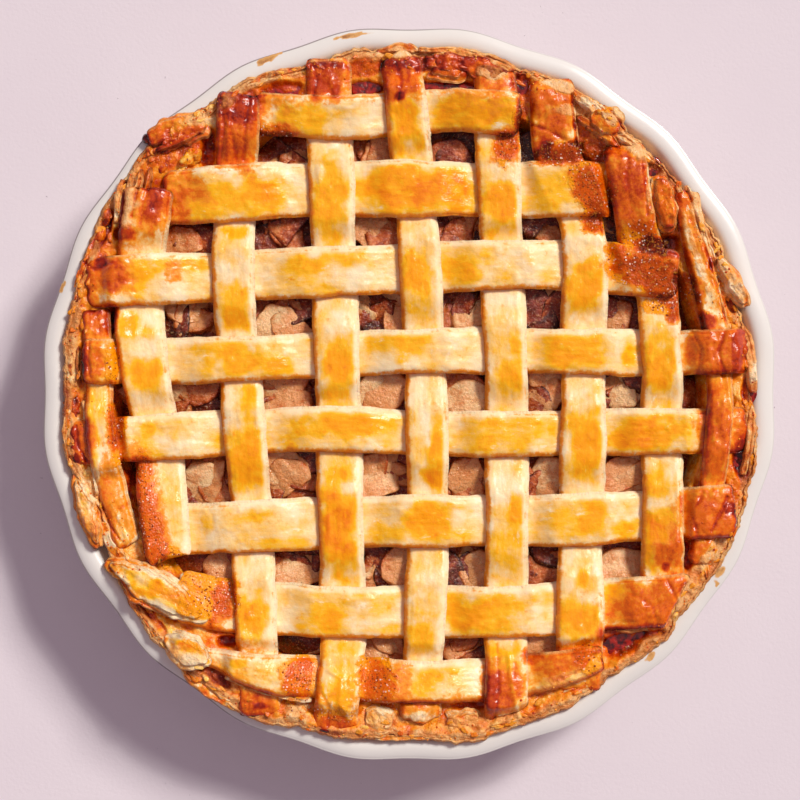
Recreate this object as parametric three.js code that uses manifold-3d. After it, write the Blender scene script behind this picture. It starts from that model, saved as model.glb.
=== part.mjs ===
// A lattice apple pie in its own white fluted dish, life size, in millimetres with +Z up.
// The origin is on the table, under the middle of the dish. Seen from above, +Y is the far side.
import * as THREE from "three";
import { mergeVertices } from "three/addons/utils/BufferGeometryUtils.js";
import Module from "manifold-3d";

const wasm = await Module();
wasm.setup();

// Dish: a turned pot with a foot ring, a flared wall and a gently scalloped lip.
const turnSteps = 80; // facets round everything that is turned
const floorTop = 5.5;
const footRing = { inner: 86, outer: 93, recess: 1.3, hollow: 84 };
const wallFoot = { r: 95, z: 9 }; // inner face of the wall, at its lower end
const wallHead = { r: 137.2, z: 47.9 }; // inner face of the wall, under the lip
const wallFlare = 0.35; // how much the wall leans out towards the lip
const wallSteps = [0, 0.4, 0.78, 1];
const wallThickness = 4.2;
const lip = { reach: 140.7, low: 46.3, high: 48.0, crest: 49.1, crestRadius: 139 };
const scallops = { count: 20, depth: 0.8, firstCrest: 9, startHeight: 10 };

// Pastry case: it lines the dish and ends in a thick, uneven rim.
const clearance = 0.45; // air left between pieces that touch
const caseInside = [
  [86, 9.1],
  [94.5, 13.5],
  [107, 30],
  [113, 44.5],
];
const rimTop = [116, 121, 126.5]; // radii where the top of the rim is drawn
const rimEdge = { thickness: 2.4, round: 2.6, most: 136.6 };
const rimReach = 133.9;
const rimWaves = [
  { count: 1, depth: 1.0, crest: 202 },
  { count: 2, depth: 0.8, crest: 127 },
  { count: 3, depth: 1.1, crest: 117 },
  { count: 4, depth: 1.5, crest: 59 },
  { count: 7, depth: 0.7, crest: 32 },
];

// The bed that the lattice lies on: [radius, height], domed inside and raised over the rim.
const bedOutline = [
  [0, 47.5],
  [60, 47],
  [96, 46.4],
  [106, 47.4],
  [116, 49.7],
  [125, 50.5],
  [140, 50.1],
];

// Lattice strips: each is a width and the middle line of a hand-laid strip, as [along, across].
// tips are the narrower widths at its two ends, where it has them.
// Upright strips run along y and are numbered from the left; cross strips run along x, from the far side.
// An upright strip passes over a cross strip where their numbers add up to an even number.
const stripThickness = 3.5;
const stripEdge = 0.75; // height of a strip's edges, as a share of its thickness
const uprightStrips = [
  { width: 10.5, line: [[-57.8, -107.5], [-31, -114.5], [-13.8, -117.4], [32, -119.6]] },
  { width: 18, line: [[-62.5, -91.7], [-29.1, -95.4], [34.1, -103], [78.1, -99.2]] },
  { width: 15.7, line: [[-122.9, -57.1], [-41.4, -60.7], [44, -67], [115.7, -64.7]] },
  { width: 17.2, line: [[-128.3, -28.3], [-93.5, -25.3], [56.3, -28.9], [127.9, -31]] },
  { width: 15.7, line: [[-126, 4.2], [-39.1, 7.3], [66.6, 3.1], [129.5, -3.4]] },
  { width: 16.5, line: [[-124.9, 36.8], [-6.1, 37.3], [124.1, 32.6]] },
  { width: 17.2, line: [[-113, 64.7], [26, 67], [66.6, 65.9], [91.5, 56.7], [120.3, 54.4]] },
  { width: 15.3, line: [[-82.7, 96.9], [36.8, 95.2], [60.9, 87.3], [95.4, 81.6]] },
  { width: 9.5, line: [[-65.5, 111.3], [-21.4, 117], [4.6, 118.5], [24.5, 117.3], [59, 109], [80, 105.5]] },
];
const crossStrips = [
  { width: 16, line: [[-60, 107.2], [-23, 105.3], [6.1, 108.4], [42.5, 106.5]] },
  { width: 21, line: [[-93.5, 74.7], [-41.7, 78.1], [78, 78.1]] },
  { width: 19, line: [[-122.9, 42.5], [-38.7, 46.3], [57.1, 49.4], [102.5, 45.4]] },
  { width: 17.2, line: [[-125.2, 12.3], [-92.3, 12.4], [12.6, 16.5], [103.4, 15.7], [128.7, 16.9]] },
  { width: 17.2, line: [[-129.5, -18.8], [-34.5, -13.4], [14.9, -15.3], [128.7, -13.8]] },
  { width: 19.5, line: [[-97, -52.1], [-1.5, -48.6], [57.1, -48.3], [123.7, -44.4]] },
  { width: 19.8, line: [[-88, -77], [-64.7, -81.6], [28.3, -83.5], [106.9, -78.1]] },
  { width: 16, tips: [5, 10], line: [[-80, -99.4], [-47.9, -107.2], [28, -109.5], [57.8, -104.6], [73.2, -100.4]] },
];
const tipLength = 30; // a strip with tips narrows over this length
const zoneMargin = 0.6; // a strip stays level this far past the strip that it crosses
const shortestSlope = 1.6; // between two crossings
const endSlope = 6; // a strip comes down on to the rim within this length
const flatEnd = 3.5; // and stays up where less than this is left of it
const leastSpacing = 1.2; // between the ends of two lines across a strip
const curvedBed = { from: 88, step: 8.5 }; // where the bed is curved, stations lie at most this far apart

// Folded ends of dough pressed on to the rim. level is 0 on the rim and 1 on top of a strip, at each end.
const edgeFolds = [
  { from: [-116, -63.5], to: [-77.7, -85.5], width: 13, thickness: 4.5, level: [0, 1] },
  { from: [-93.5, -92.5], to: [-76, -101.5], width: 12, thickness: 4.5, level: [0, 1] },
  { from: [-99.5, 96.5], to: [-76, 104.5], width: 12, thickness: 5, level: [0, 0] },
  { from: [69, 107], to: [81, 100.5], width: 12, thickness: 5, level: [0, 0] },
  { from: [95.7, 82.5], to: [99.2, 62], width: 7.8, thickness: 6, level: [0, 0] },
  { from: [118.2, 52], to: [128, 33], width: 7.5, thickness: 4.5, level: [0, 0] },
  { from: [7.5, 126], to: [22.5, 124.5], width: 10, thickness: 4, level: [0, 0] },
  { from: [-17.5, -124.5], to: [-5.5, -126], width: 9, thickness: 3.5, level: [0, 0] },
  { from: [14, -126], to: [27, -124.8], width: 9, thickness: 3.5, level: [0, 0] },
  { from: [-47.5, -119.5], to: [-38.5, -123], width: 9, thickness: 3.5, level: [0, 0] },
  { from: [-127.5, -31], to: [-119, -58], width: 7.5, thickness: 4.5, level: [0, 0] },
];
const foldSteps = 6;

// Apple filling: a core up to the lattice's openings, with slices and chunks fused on where it shows.
const coreSink = 4.6; // the core's top lies this far under the lattice
const coreSteps = 32;
const fillingReach = 109;
const sliceReach = 95;
const slice = { length: [17, 25], width: [9, 13], thickness: 8, bend: 0.45, tilt: 0.3 };
const chunk = { size: [8, 12], tilt: 0.35 };
const chunkShare = 0.45; // how many windows also hold a chunk
const seed = 11;

const radians = THREE.MathUtils.degToRad;

// A repeatable stream of numbers from 0 to 1.
function randomStream(start) {
  let state = start;
  return () => {
    state = (state * 1664525 + 1013904223) % 4294967296;
    return state / 4294967296;
  };
}

// A smooth function through [place, value] points, straight beyond both ends.
function smoothLine(points) {
  const last = points.length - 1;
  const slopes = points.map((_, k) => {
    const before = points[Math.max(k - 1, 0)];
    const after = points[Math.min(k + 1, last)];
    return (after[1] - before[1]) / (after[0] - before[0]);
  });
  return (place) => {
    if (place <= points[0][0]) return points[0][1] + slopes[0] * (place - points[0][0]);
    if (place >= points[last][0]) return points[last][1] + slopes[last] * (place - points[last][0]);
    const k = points.findIndex((p) => p[0] > place) - 1;
    const span = points[k + 1][0] - points[k][0];
    const t = (place - points[k][0]) / span;
    const s = 1 - t;
    const start = points[k][1] * (1 + 2 * t) * s * s + slopes[k] * span * t * s * s;
    const end = points[k + 1][1] * (3 - 2 * t) * t * t - slopes[k + 1] * span * t * t * s;
    return start + end;
  };
}

const bedHeight = smoothLine(bedOutline);

function bedAt(x, y) {
  return bedHeight(Math.hypot(x, y));
}

// A point of the dish's inner wall at share u of its way up, moved in (or out, if negative) by offset.
function wallPoint(u, offset) {
  const run = wallHead.r - wallFoot.r;
  const rise = wallHead.z - wallFoot.z;
  const slope = (rise * (1 + wallFlare - 2 * wallFlare * u)) / run;
  const scale = offset / Math.hypot(1, slope);
  const height = wallFoot.z + rise * ((1 + wallFlare) * u - wallFlare * u * u);
  return new THREE.Vector2(wallFoot.r + run * u - slope * scale, height + scale);
}

// How far the scallops push a wall out at a height and an angle.
function scallopAt(height, angle) {
  const share = (height - scallops.startHeight) / (lip.crest - scallops.startHeight);
  const wave = Math.cos(scallops.count * (angle - radians(scallops.firstCrest)));
  return scallops.depth * THREE.MathUtils.clamp(share, 0, 1) * wave;
}

// Turns a profile about Z. shape(point, index, angle) may move each point of it as it goes round.
function turned(profile, steps, shape) {
  const geometry = new THREE.LatheGeometry(profile, steps);
  geometry.rotateX(Math.PI / 2);
  const position = geometry.getAttribute("position");
  for (let k = 0; k < position.count; k++) {
    const index = k % profile.length;
    const angle = Math.atan2(position.getY(k), position.getX(k));
    const moved = shape(profile[index], index, angle);
    const x = profile[index].x > 0 ? moved.x * Math.cos(angle) : 0;
    const y = profile[index].x > 0 ? moved.x * Math.sin(angle) : 0;
    position.setXYZ(k, x, y, moved.y);
  }
  return closed(geometry);
}

// The same geometry with shared vertices merged, as closed surfaces need.
function closed(geometry) {
  geometry.deleteAttribute("normal");
  geometry.deleteAttribute("uv");
  return mergeVertices(geometry, 1e-3);
}

function solidOf(geometry) {
  const vertProperties = geometry.getAttribute("position").array;
  const triVerts = new Uint32Array(geometry.index.array);
  return new wasm.Manifold(new wasm.Mesh({ numProp: 3, vertProperties, triVerts }));
}

function geometryOf(solid) {
  const mesh = solid.getMesh();
  const geometry = new THREE.BufferGeometry();
  geometry.setAttribute("position", new THREE.BufferAttribute(mesh.vertProperties, 3));
  geometry.setIndex(new THREE.BufferAttribute(mesh.triVerts, 1));
  return geometry;
}

function dishGeometry() {
  const profile = [
    new THREE.Vector2(0, footRing.recess),
    new THREE.Vector2(footRing.hollow, footRing.recess),
    new THREE.Vector2(footRing.inner, 0),
    new THREE.Vector2(footRing.outer, 0),
    ...wallSteps.map((u) => wallPoint(u, -wallThickness)),
    new THREE.Vector2(lip.reach, lip.low),
    new THREE.Vector2(lip.reach, lip.high),
    new THREE.Vector2(lip.crestRadius, lip.crest),
    ...wallSteps.toReversed().map((u) => wallPoint(u, 0)),
    new THREE.Vector2(wallFoot.r - 6, floorTop),
    new THREE.Vector2(0, floorTop),
  ];
  const scalloped = (p, _, angle) => new THREE.Vector2(p.x + scallopAt(p.y, angle), p.y);
  return turned(profile, turnSteps, scalloped);
}

// The pastry case's outer edge, as a radius at an angle.
function rimRadius(angle) {
  const wave = (w) => w.depth * Math.cos(w.count * (angle - radians(w.crest)));
  const radius = rimWaves.reduce((sum, w) => sum + wave(w), rimReach);
  return Math.min(radius + crag(angle, 0) * 0.7, rimEdge.most);
}

// Small uneven relief of the baked rim, from -1 to 1.
function crag(angle, row) {
  return 0.6 * Math.sin(23 * angle + 2.1 * row) + 0.4 * Math.sin(37 * angle - 1.3 * row);
}

function caseGeometry() {
  const wallRows = wallSteps.slice(0, -1);
  const [beforeLip, atLip] = wallSteps.slice(-2).map((u) => wallPoint(u, clearance));
  const edgeRow = 2 + wallRows.length;
  const topRow = edgeRow + 3;
  const profile = [
    new THREE.Vector2(0, floorTop + clearance),
    new THREE.Vector2(wallFoot.r - 6, floorTop + clearance),
    ...wallRows.map((u) => wallPoint(u, clearance)),
    new THREE.Vector2(rimReach, atLip.y),
    new THREE.Vector2(rimReach, atLip.y + 1),
    new THREE.Vector2(rimReach, atLip.y + 2),
    ...rimTop.toReversed().map((r) => new THREE.Vector2(r, bedHeight(r))),
    ...caseInside.toReversed().map(([r, z]) => new THREE.Vector2(r, z)),
    new THREE.Vector2(0, caseInside[0][1]),
  ];
  const shaped = (p, row, angle) => {
    if (row < edgeRow) return new THREE.Vector2(p.x + scallopAt(p.y, angle), p.y);
    const reach = rimRadius(angle);
    const onWall = beforeLip.clone().lerp(atLip, (reach - beforeLip.x) / (atLip.x - beforeLip.x));
    const out = reach + scallopAt(onWall.y, angle);
    if (row === edgeRow) return new THREE.Vector2(out, onWall.y);
    if (row === edgeRow + 1) return new THREE.Vector2(out, onWall.y + rimEdge.thickness * 0.7);
    if (row === edgeRow + 2) {
      const inner = out - rimEdge.round - 0.5 * crag(angle, row);
      const top = Math.min(onWall.y + rimEdge.thickness + 0.9, bedHeight(inner) - 0.1);
      return new THREE.Vector2(inner, top);
    }
    if (row < topRow + rimTop.length) return new THREE.Vector2(p.x, p.y - 0.35 - 0.35 * crag(angle, row));
    return p;
  };
  return turned(profile, turnSteps, shaped);
}

// A slab of dough through a list of stations, each a middle point, a unit vector across, a width and a level.
// It follows the bed, one strip's thickness higher for each level.
function slabGeometry(stations, thickness, edge) {
  const steps = stations.length - 1;
  const geometry = closed(new THREE.BoxGeometry(1, 1, 1, steps, 2, 1));
  const position = geometry.getAttribute("position");
  for (let k = 0; k < position.count; k++) {
    const station = stations[Math.round((position.getX(k) + 0.5) * steps)];
    const side = position.getY(k);
    const x = station.x + station.acrossX * side * station.width;
    const y = station.y + station.acrossY * side * station.width;
    const atEdge = Math.abs(side) > 0.4;
    const top = position.getZ(k) > 0 ? thickness * (atEdge ? edge : 1) : 0;
    const lift = clearance + station.level * (stripThickness + clearance);
    position.setXYZ(k, x, y, bedAt(x, y) + lift + top);
  }
  return geometry;
}

// Middle line, ends and directions of one strip, however it runs.
function routeOf(strip, upright) {
  const middle = smoothLine(strip.line);
  const start = strip.line[0][0];
  const end = strip.line.at(-1)[0];
  const slopeAt = (a) => middle(a + 0.5) - middle(a - 0.5);
  const [startWidth, endWidth] = strip.tips ?? [strip.width, strip.width];
  const widthAt = (place) => {
    const fromStart = THREE.MathUtils.lerp(startWidth, strip.width, Math.min(1, (place - start) / tipLength));
    const fromEnd = THREE.MathUtils.lerp(endWidth, strip.width, Math.min(1, (end - place) / tipLength));
    return Math.min(fromStart, fromEnd) * (1 + 0.03 * Math.sin(place / 9 + strip.width));
  };
  return { middle, start, end, slopeAt, widthAt, width: strip.width, upright };
}

// Where a strip meets another, and whether it passes over: null when they stay apart.
function crossingOf(own, other, over) {
  let place = 0;
  for (let k = 0; k < 12; k++) place = other.middle(own.middle(place));
  const otherPlace = own.middle(place);
  const reaches = (route, at, half) => at > route.start - half + 0.5 && at < route.end + half - 0.5;
  if (!reaches(own, place, other.width / 2) || !reaches(other, otherPlace, own.width / 2)) return null;
  const skew = other.slopeAt(otherPlace);
  const half = (other.widthAt(otherPlace) / 2) * Math.hypot(1, skew) + zoneMargin;
  return { place, half, level: over ? 1 : 0, skew };
}

// Stations of one strip: level where it crosses others, sloping between, and down on the rim at its ends.
function stationsOf(own, crossings) {
  const zones = crossings.filter(Boolean).sort((a, b) => a.place - b.place);
  for (const zone of zones) {
    zone.from = Math.max(zone.place - zone.half, own.start + 1);
    zone.to = Math.min(zone.place + zone.half, own.end - 1);
  }
  for (let k = 1; k < zones.length; k++) {
    const middle = (zones[k - 1].to + zones[k].from) / 2;
    zones[k - 1].to = Math.min(zones[k - 1].to, middle - shortestSlope / 2);
    zones[k].from = Math.max(zones[k].from, middle + shortestSlope / 2);
  }
  const marks = zones.flatMap(({ from, to, level, skew }) => [
    { place: from, level, skew },
    { place: to, level, skew },
  ]);
  const all = [...endMarks(own, marks[0], -1), ...marks, ...endMarks(own, marks.at(-1), 1)];
  untwist(all, own.width / 2);
  return refined(own, all).map((mark) => stationAt(own, mark));
}

// Turns neighbouring lines across a strip towards each other where they would meet at its edge.
function untwist(marks, half) {
  for (let k = 1; k < marks.length; k++) {
    const a = marks[k - 1];
    const b = marks[k];
    const most = Math.max(0, b.place - a.place - leastSpacing) / half;
    const twist = b.skew - a.skew;
    const excess = (Math.max(0, Math.abs(twist) - most) / 2) * Math.sign(twist);
    a.skew += excess;
    b.skew -= excess;
  }
}

// Marks from a strip's last crossing to its end, in order along the strip. side is -1 at its start.
function endMarks(own, mark, side) {
  const end = side < 0 ? own.start : own.end;
  const room = Math.abs(end - mark.place);
  const markAt = (place, level) => ({ place, level, skew: -own.slopeAt(place) });
  if (room < flatEnd) return [{ ...mark, place: end }];
  if (room < endSlope + 1) return [markAt(end, 0)];
  const landed = markAt(mark.place + side * endSlope, 0);
  return side < 0 ? [markAt(end, 0), landed] : [landed, markAt(end, 0)];
}

// A station whose line across the strip leans by skew, so that it lies along the strip that it crosses.
function stationAt(own, { place, level, skew }) {
  const unit = 1 / Math.hypot(1, own.slopeAt(place));
  const lean = 1 / ((1 - skew * own.slopeAt(place)) * unit);
  const middle = own.middle(place);
  const width = own.widthAt(place);
  return own.upright
    ? { x: middle, y: place, acrossX: -lean, acrossY: -skew * lean, width, level }
    : { x: place, y: middle, acrossX: skew * lean, acrossY: lean, width, level };
}

// Adds marks on long stretches over the rim, where the bed is strongly curved.
function refined(own, marks) {
  const result = [marks[0]];
  for (let k = 1; k < marks.length; k++) {
    const a = marks[k - 1];
    const b = marks[k];
    const centre = (a.place + b.place) / 2;
    const radius = Math.hypot(centre, own.middle(centre));
    const step = radius > curvedBed.from ? curvedBed.step : Infinity;
    const pieces = Math.max(1, Math.ceil((b.place - a.place) / step));
    for (let n = 1; n <= pieces; n++) {
      const between = (key) => THREE.MathUtils.lerp(a[key], b[key], n / pieces);
      result.push({ place: between("place"), level: between("level"), skew: between("skew") });
    }
  }
  return result;
}

function foldStations(fold) {
  const along = new THREE.Vector2(fold.to[0] - fold.from[0], fold.to[1] - fold.from[1]);
  const across = new THREE.Vector2(-along.y, along.x).normalize();
  return Array.from({ length: foldSteps + 1 }, (_, k) => {
    const t = k / foldSteps;
    const climb = THREE.MathUtils.smoothstep(t, 0.1, 0.4);
    return {
      x: fold.from[0] + along.x * t,
      y: fold.from[1] + along.y * t,
      acrossX: across.x,
      acrossY: across.y,
      width: fold.width * (0.55 + 0.45 * Math.sqrt(Math.sin(Math.PI * t))),
      level: fold.level[0] + (fold.level[1] - fold.level[0]) * climb,
    };
  });
}

// A curved apple slice or a plain chunk, tilted, standing with its top just under the lattice.
function applePiece(size, bend, tilt, turn, x, y, random) {
  const box = new THREE.BoxGeometry(size.x, size.y, size.z, bend ? 3 : 1, 1, 1);
  const geometry = closed(box);
  const position = geometry.getAttribute("position");
  for (let k = 0; k < position.count; k++) {
    const share = (2 * position.getX(k)) / size.x;
    const thin = 1 - 0.45 * share * share * (bend ? 1 : 0);
    const sideways = position.getY(k) * thin - bend * size.y * share * share;
    position.setXYZ(k, position.getX(k), sideways, position.getZ(k) * thin);
  }
  geometry.rotateX((random() - 0.5) * 2 * tilt);
  geometry.rotateY((random() - 0.5) * 2 * tilt);
  geometry.rotateZ(turn);
  geometry.computeBoundingBox();
  const top = bedAt(x, y) - 0.6 - 1.6 * random();
  geometry.translate(x, y, top - geometry.boundingBox.max.z);
  return geometry;
}

function coreGeometry() {
  const inset = clearance + 0.3;
  const corners = caseInside.map(([r, z]) => new THREE.Vector2(r - inset, z + clearance));
  const profile = [
    new THREE.Vector2(0, corners[0].y),
    ...corners.slice(0, -1),
    new THREE.Vector2(corners.at(-1).x - 1.5, corners.at(-1).y - 3.5),
    ...[104, 84, 60, 32, 0].map((r) => new THREE.Vector2(r, bedHeight(r) - coreSink)),
  ];
  const topRow = corners.length + 1;
  const uneven = (p, row, angle) => {
    const bump = row >= topRow && p.x > 0 ? Math.sin(5 * angle + row) * 0.8 : 0;
    return new THREE.Vector2(p.x, p.y + bump);
  };
  return turned(profile, coreSteps, uneven);
}

// Middle points of the openings between neighbouring strips.
function windowCentres(uprights, crosses) {
  const centres = [];
  for (let i = 0; i + 1 < uprights.length; i++) {
    for (let j = 0; j + 1 < crosses.length; j++) {
      let x = 0;
      let y = 0;
      for (let k = 0; k < 12; k++) {
        x = (uprights[i].middle(y) + uprights[i + 1].middle(y)) / 2;
        y = (crosses[j].middle(x) + crosses[j + 1].middle(x)) / 2;
      }
      if (Math.hypot(x, y) < fillingReach) centres.push([x, y]);
    }
  }
  return centres;
}

function fillingGeometry(uprights, crosses) {
  const random = randomStream(seed);
  const between = ([low, high]) => low + (high - low) * random();
  let solid = solidOf(coreGeometry());
  const fuse = (geometry) => {
    solid = solid.add(solidOf(geometry));
  };
  for (const [x, y] of windowCentres(uprights, crosses)) {
    const inward = Math.min(1, sliceReach / Math.hypot(x, y));
    const size = new THREE.Vector3(between(slice.length), between(slice.width), slice.thickness);
    const turn = Math.PI * random();
    fuse(applePiece(size, slice.bend, slice.tilt, turn, x * inward, y * inward, random));
    if (random() < chunkShare) {
      const cube = new THREE.Vector3(between(chunk.size), between(chunk.size), between(chunk.size));
      const shift = 7 * (random() < 0.5 ? -1 : 1);
      fuse(applePiece(cube, 0, chunk.tilt, turn, x * inward + shift, y * inward, random));
    }
  }
  return geometryOf(solid);
}

const materials = {
  glaze: new THREE.MeshStandardMaterial({ color: 0xf2efe9, roughness: 0.12, metalness: 0 }),
  rim: new THREE.MeshStandardMaterial({ color: 0xb9692c, roughness: 0.7, metalness: 0 }),
  lattice: new THREE.MeshStandardMaterial({ color: 0xe9b45f, roughness: 0.45, metalness: 0 }),
  folds: new THREE.MeshStandardMaterial({ color: 0xd08a3c, roughness: 0.5, metalness: 0 }),
  apple: new THREE.MeshStandardMaterial({ color: 0xa46a3e, roughness: 0.4, metalness: 0 }),
};

const pie = new THREE.Group();

function place(name, geometry, material) {
  const mesh = new THREE.Mesh(geometry, material);
  mesh.name = name;
  pie.add(mesh);
}

const uprights = uprightStrips.map((strip) => routeOf(strip, true));
const crosses = crossStrips.map((strip) => routeOf(strip, false));
const uprightIsOver = (i, j) => (i + j) % 2 === 0;

place("dish", dishGeometry(), materials.glaze);
place("bottom_crust", caseGeometry(), materials.rim);
place("apple_filling", fillingGeometry(uprights, crosses), materials.apple);

uprights.forEach((own, i) => {
  const crossings = crosses.map((other, j) => crossingOf(own, other, uprightIsOver(i, j)));
  const stations = stationsOf(own, crossings);
  place(`upright_strip_${i}`, slabGeometry(stations, stripThickness, stripEdge), materials.lattice);
});

crosses.forEach((own, j) => {
  const crossings = uprights.map((other, i) => crossingOf(own, other, !uprightIsOver(i, j)));
  const stations = stationsOf(own, crossings);
  place(`cross_strip_${j}`, slabGeometry(stations, stripThickness, stripEdge), materials.lattice);
});

edgeFolds.forEach((fold, k) => {
  place(`edge_fold_${k}`, slabGeometry(foldStations(fold), fold.thickness, 0.55), materials.folds);
});

export default pie;
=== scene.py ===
"""A lattice apple pie in a white fluted dish: the looks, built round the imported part.

Lengths are in millimetres until a mesh is made. The pie is seen from straight above, with +Y at the top.
Places named as pixels are the photograph's: 800 a side, counted from its top left corner.
"""

import itertools
import math

import bpy
import numpy as np
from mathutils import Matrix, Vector
from mathutils.bvhtree import BVHTree


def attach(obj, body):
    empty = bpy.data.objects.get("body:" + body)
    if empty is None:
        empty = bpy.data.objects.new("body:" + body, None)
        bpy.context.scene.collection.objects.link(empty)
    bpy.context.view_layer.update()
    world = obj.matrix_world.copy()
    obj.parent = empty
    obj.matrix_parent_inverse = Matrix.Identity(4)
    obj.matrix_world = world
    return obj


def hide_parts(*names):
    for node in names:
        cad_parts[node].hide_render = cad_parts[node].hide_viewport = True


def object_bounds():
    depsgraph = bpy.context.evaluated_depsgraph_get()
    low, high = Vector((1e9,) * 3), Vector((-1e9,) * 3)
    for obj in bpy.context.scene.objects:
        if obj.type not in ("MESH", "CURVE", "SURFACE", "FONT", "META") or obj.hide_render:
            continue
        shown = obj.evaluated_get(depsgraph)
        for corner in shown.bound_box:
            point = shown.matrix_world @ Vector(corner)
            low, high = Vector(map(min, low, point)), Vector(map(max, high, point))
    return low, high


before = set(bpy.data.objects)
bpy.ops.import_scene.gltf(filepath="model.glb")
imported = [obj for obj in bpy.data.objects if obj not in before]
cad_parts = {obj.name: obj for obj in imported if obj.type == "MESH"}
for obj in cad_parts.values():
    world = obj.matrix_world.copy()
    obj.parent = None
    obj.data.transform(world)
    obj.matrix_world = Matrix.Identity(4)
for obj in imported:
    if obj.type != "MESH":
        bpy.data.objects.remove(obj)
cad_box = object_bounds()

MM = 0.001
PHOTO_PIXELS = 800
MM_PER_PIXEL = 0.383
PIE_PIXEL = (409, 394)  # the pie's middle in the photograph

# Dish, as in the part: radii and heights of its inner wall, foot ring and lip.
FLOOR_TOP = 5.5
FOOT = {"inner": 86, "outer": 93, "recess": 1.3, "hollow": 84}
WALL_FOOT = (95, 9)
WALL_HEAD = (137.2, 47.9)
WALL_FLARE = 0.35
WALL_THICKNESS = 4.2
LIP_REACH = 140.7
LIP_CREST = (139, 49.1)
LIP_ROUND = {"radius": 1.1, "height": 47.2}
SCALLOPS = {"count": 20, "depth": 0.8, "first": 9, "start": 10}

# Pastry case and the bed that the lattice lies on, as [radius, height].
CLEARANCE = 0.45
CASE_INSIDE = [(86, 9.1), (94.5, 13.5), (107, 30), (113, 44.5)]
BED = [(0, 47.5), (60, 47), (96, 46.4), (106, 47.4), (116, 49.7), (125, 50.5), (140, 50.1)]
RIM_REACH = 133.9
RIM_MOST = 136.6
RIM_WAVES = [(1, 1.0, 202), (2, 0.8, 127), (3, 1.1, 117), (4, 1.5, 59), (7, 0.7, 32)]

# Lattice strips: a width and a middle line, [along, across]. Upright strips run along y, from the left.
STRIP = 3.5 + CLEARANCE
UPRIGHTS = [
    (10.5, [(-57.8, -107.5), (-31, -114.5), (-13.8, -117.4), (32, -119.6)]),
    (18, [(-62.5, -91.7), (-29.1, -95.4), (34.1, -103), (78.1, -99.2)]),
    (15.7, [(-122.9, -57.1), (-41.4, -60.7), (44, -67), (115.7, -64.7)]),
    (17.2, [(-128.3, -28.3), (-93.5, -25.3), (56.3, -28.9), (127.9, -31)]),
    (15.7, [(-126, 4.2), (-39.1, 7.3), (66.6, 3.1), (129.5, -3.4)]),
    (16.5, [(-124.9, 36.8), (-6.1, 37.3), (124.1, 32.6)]),
    (17.2, [(-113, 64.7), (26, 67), (66.6, 65.9), (91.5, 56.7), (120.3, 54.4)]),
    (15.3, [(-82.7, 96.9), (36.8, 95.2), (60.9, 87.3), (95.4, 81.6)]),
    (9.5, [(-65.5, 111.3), (-21.4, 117), (4.6, 118.5), (24.5, 117.3), (59, 109), (80, 105.5)]),
]
# Cross strips run along x and are numbered from the far side.
CROSSES = [
    (16, [(-60, 107.2), (-23, 105.3), (6.1, 108.4), (42.5, 106.5)]),
    (21, [(-93.5, 74.7), (-41.7, 78.1), (78, 78.1)]),
    (19, [(-122.9, 42.5), (-38.7, 46.3), (57.1, 49.4), (102.5, 45.4)]),
    (17.2, [(-125.2, 12.3), (-92.3, 12.4), (12.6, 16.5), (103.4, 15.7), (128.7, 16.9)]),
    (17.2, [(-129.5, -18.8), (-34.5, -13.4), (14.9, -15.3), (128.7, -13.8)]),
    (19.5, [(-97, -52.1), (-1.5, -48.6), (57.1, -48.3), (123.7, -44.4)]),
    (19.8, [(-88, -77), (-64.7, -81.6), (28.3, -83.5), (106.9, -78.1)]),
    (16, [(-80, -99.4), (-47.9, -107.2), (28, -109.5), (57.8, -104.6), (73.2, -100.4)]),
]
TIPS = {("cross", 7): (5, 10)}  # widths at the ends of a strip that narrows
TIP_LENGTH = 30
ZONE_MARGIN = 0.6
END_SLOPE = 6
FLAT_END = 3.5

# Folded ends of dough on the rim: from, to, width, thickness, level at each end.
FOLDS = [
    ((-116, -63.5), (-77.7, -85.5), 13, 4.5, (0, 1)),
    ((-93.5, -92.5), (-76, -101.5), 12, 4.5, (0, 1)),
    ((-99.5, 96.5), (-76, 104.5), 12, 5, (0, 0)),
    ((69, 107), (81, 100.5), 12, 5, (0, 0)),
    ((95.7, 82.5), (99.2, 62), 7.8, 6, (0, 0)),
    ((118.2, 52), (128, 33), 7.5, 4.5, (0, 0)),
    ((7.5, 126), (22.5, 124.5), 10, 4, (0, 0)),
    ((-17.5, -124.5), (-5.5, -126), 9, 3.5, (0, 0)),
    ((14, -126), (27, -124.8), 9, 3.5, (0, 0)),
    ((-47.5, -119.5), (-38.5, -123), 9, 3.5, (0, 0)),
    ((-127.5, -31), (-119, -58), 7.5, 4.5, (0, 0)),
]

# Apple filling, drawn by the part's own rule, with more pieces between.
CORE_SINK = 4.6
FILLING_REACH = 109
SLICE_REACH = 95
CHUNK_SHARE = 0.45
PIECE_SINK = 1.3
THIN_SLICES = 3
SEED = 11


# Numbers and surfaces

def smooth_line(points):
    """A smooth function through (place, value) points, straight beyond both ends."""
    places, values = np.array(points, float).T
    last = len(places) - 1
    after = np.minimum(np.arange(last + 1) + 1, last)
    before = np.maximum(np.arange(last + 1) - 1, 0)
    slopes = (values[after] - values[before]) / (places[after] - places[before])

    def line(place):
        place = np.asarray(place, float)
        k = np.clip(np.searchsorted(places, place, side="right") - 1, 0, last - 1)
        span = places[k + 1] - places[k]
        t = np.clip((place - places[k]) / span, 0, 1)
        s = 1 - t
        start = values[k] * (1 + 2 * t) * s * s + slopes[k] * span * t * s * s
        end = values[k + 1] * (3 - 2 * t) * t * t - slopes[k + 1] * span * t * t * s
        below = np.minimum(place - places[0], 0) * slopes[0]
        above = np.maximum(place - places[-1], 0) * slopes[-1]
        return start + end + below + above

    return line


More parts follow.
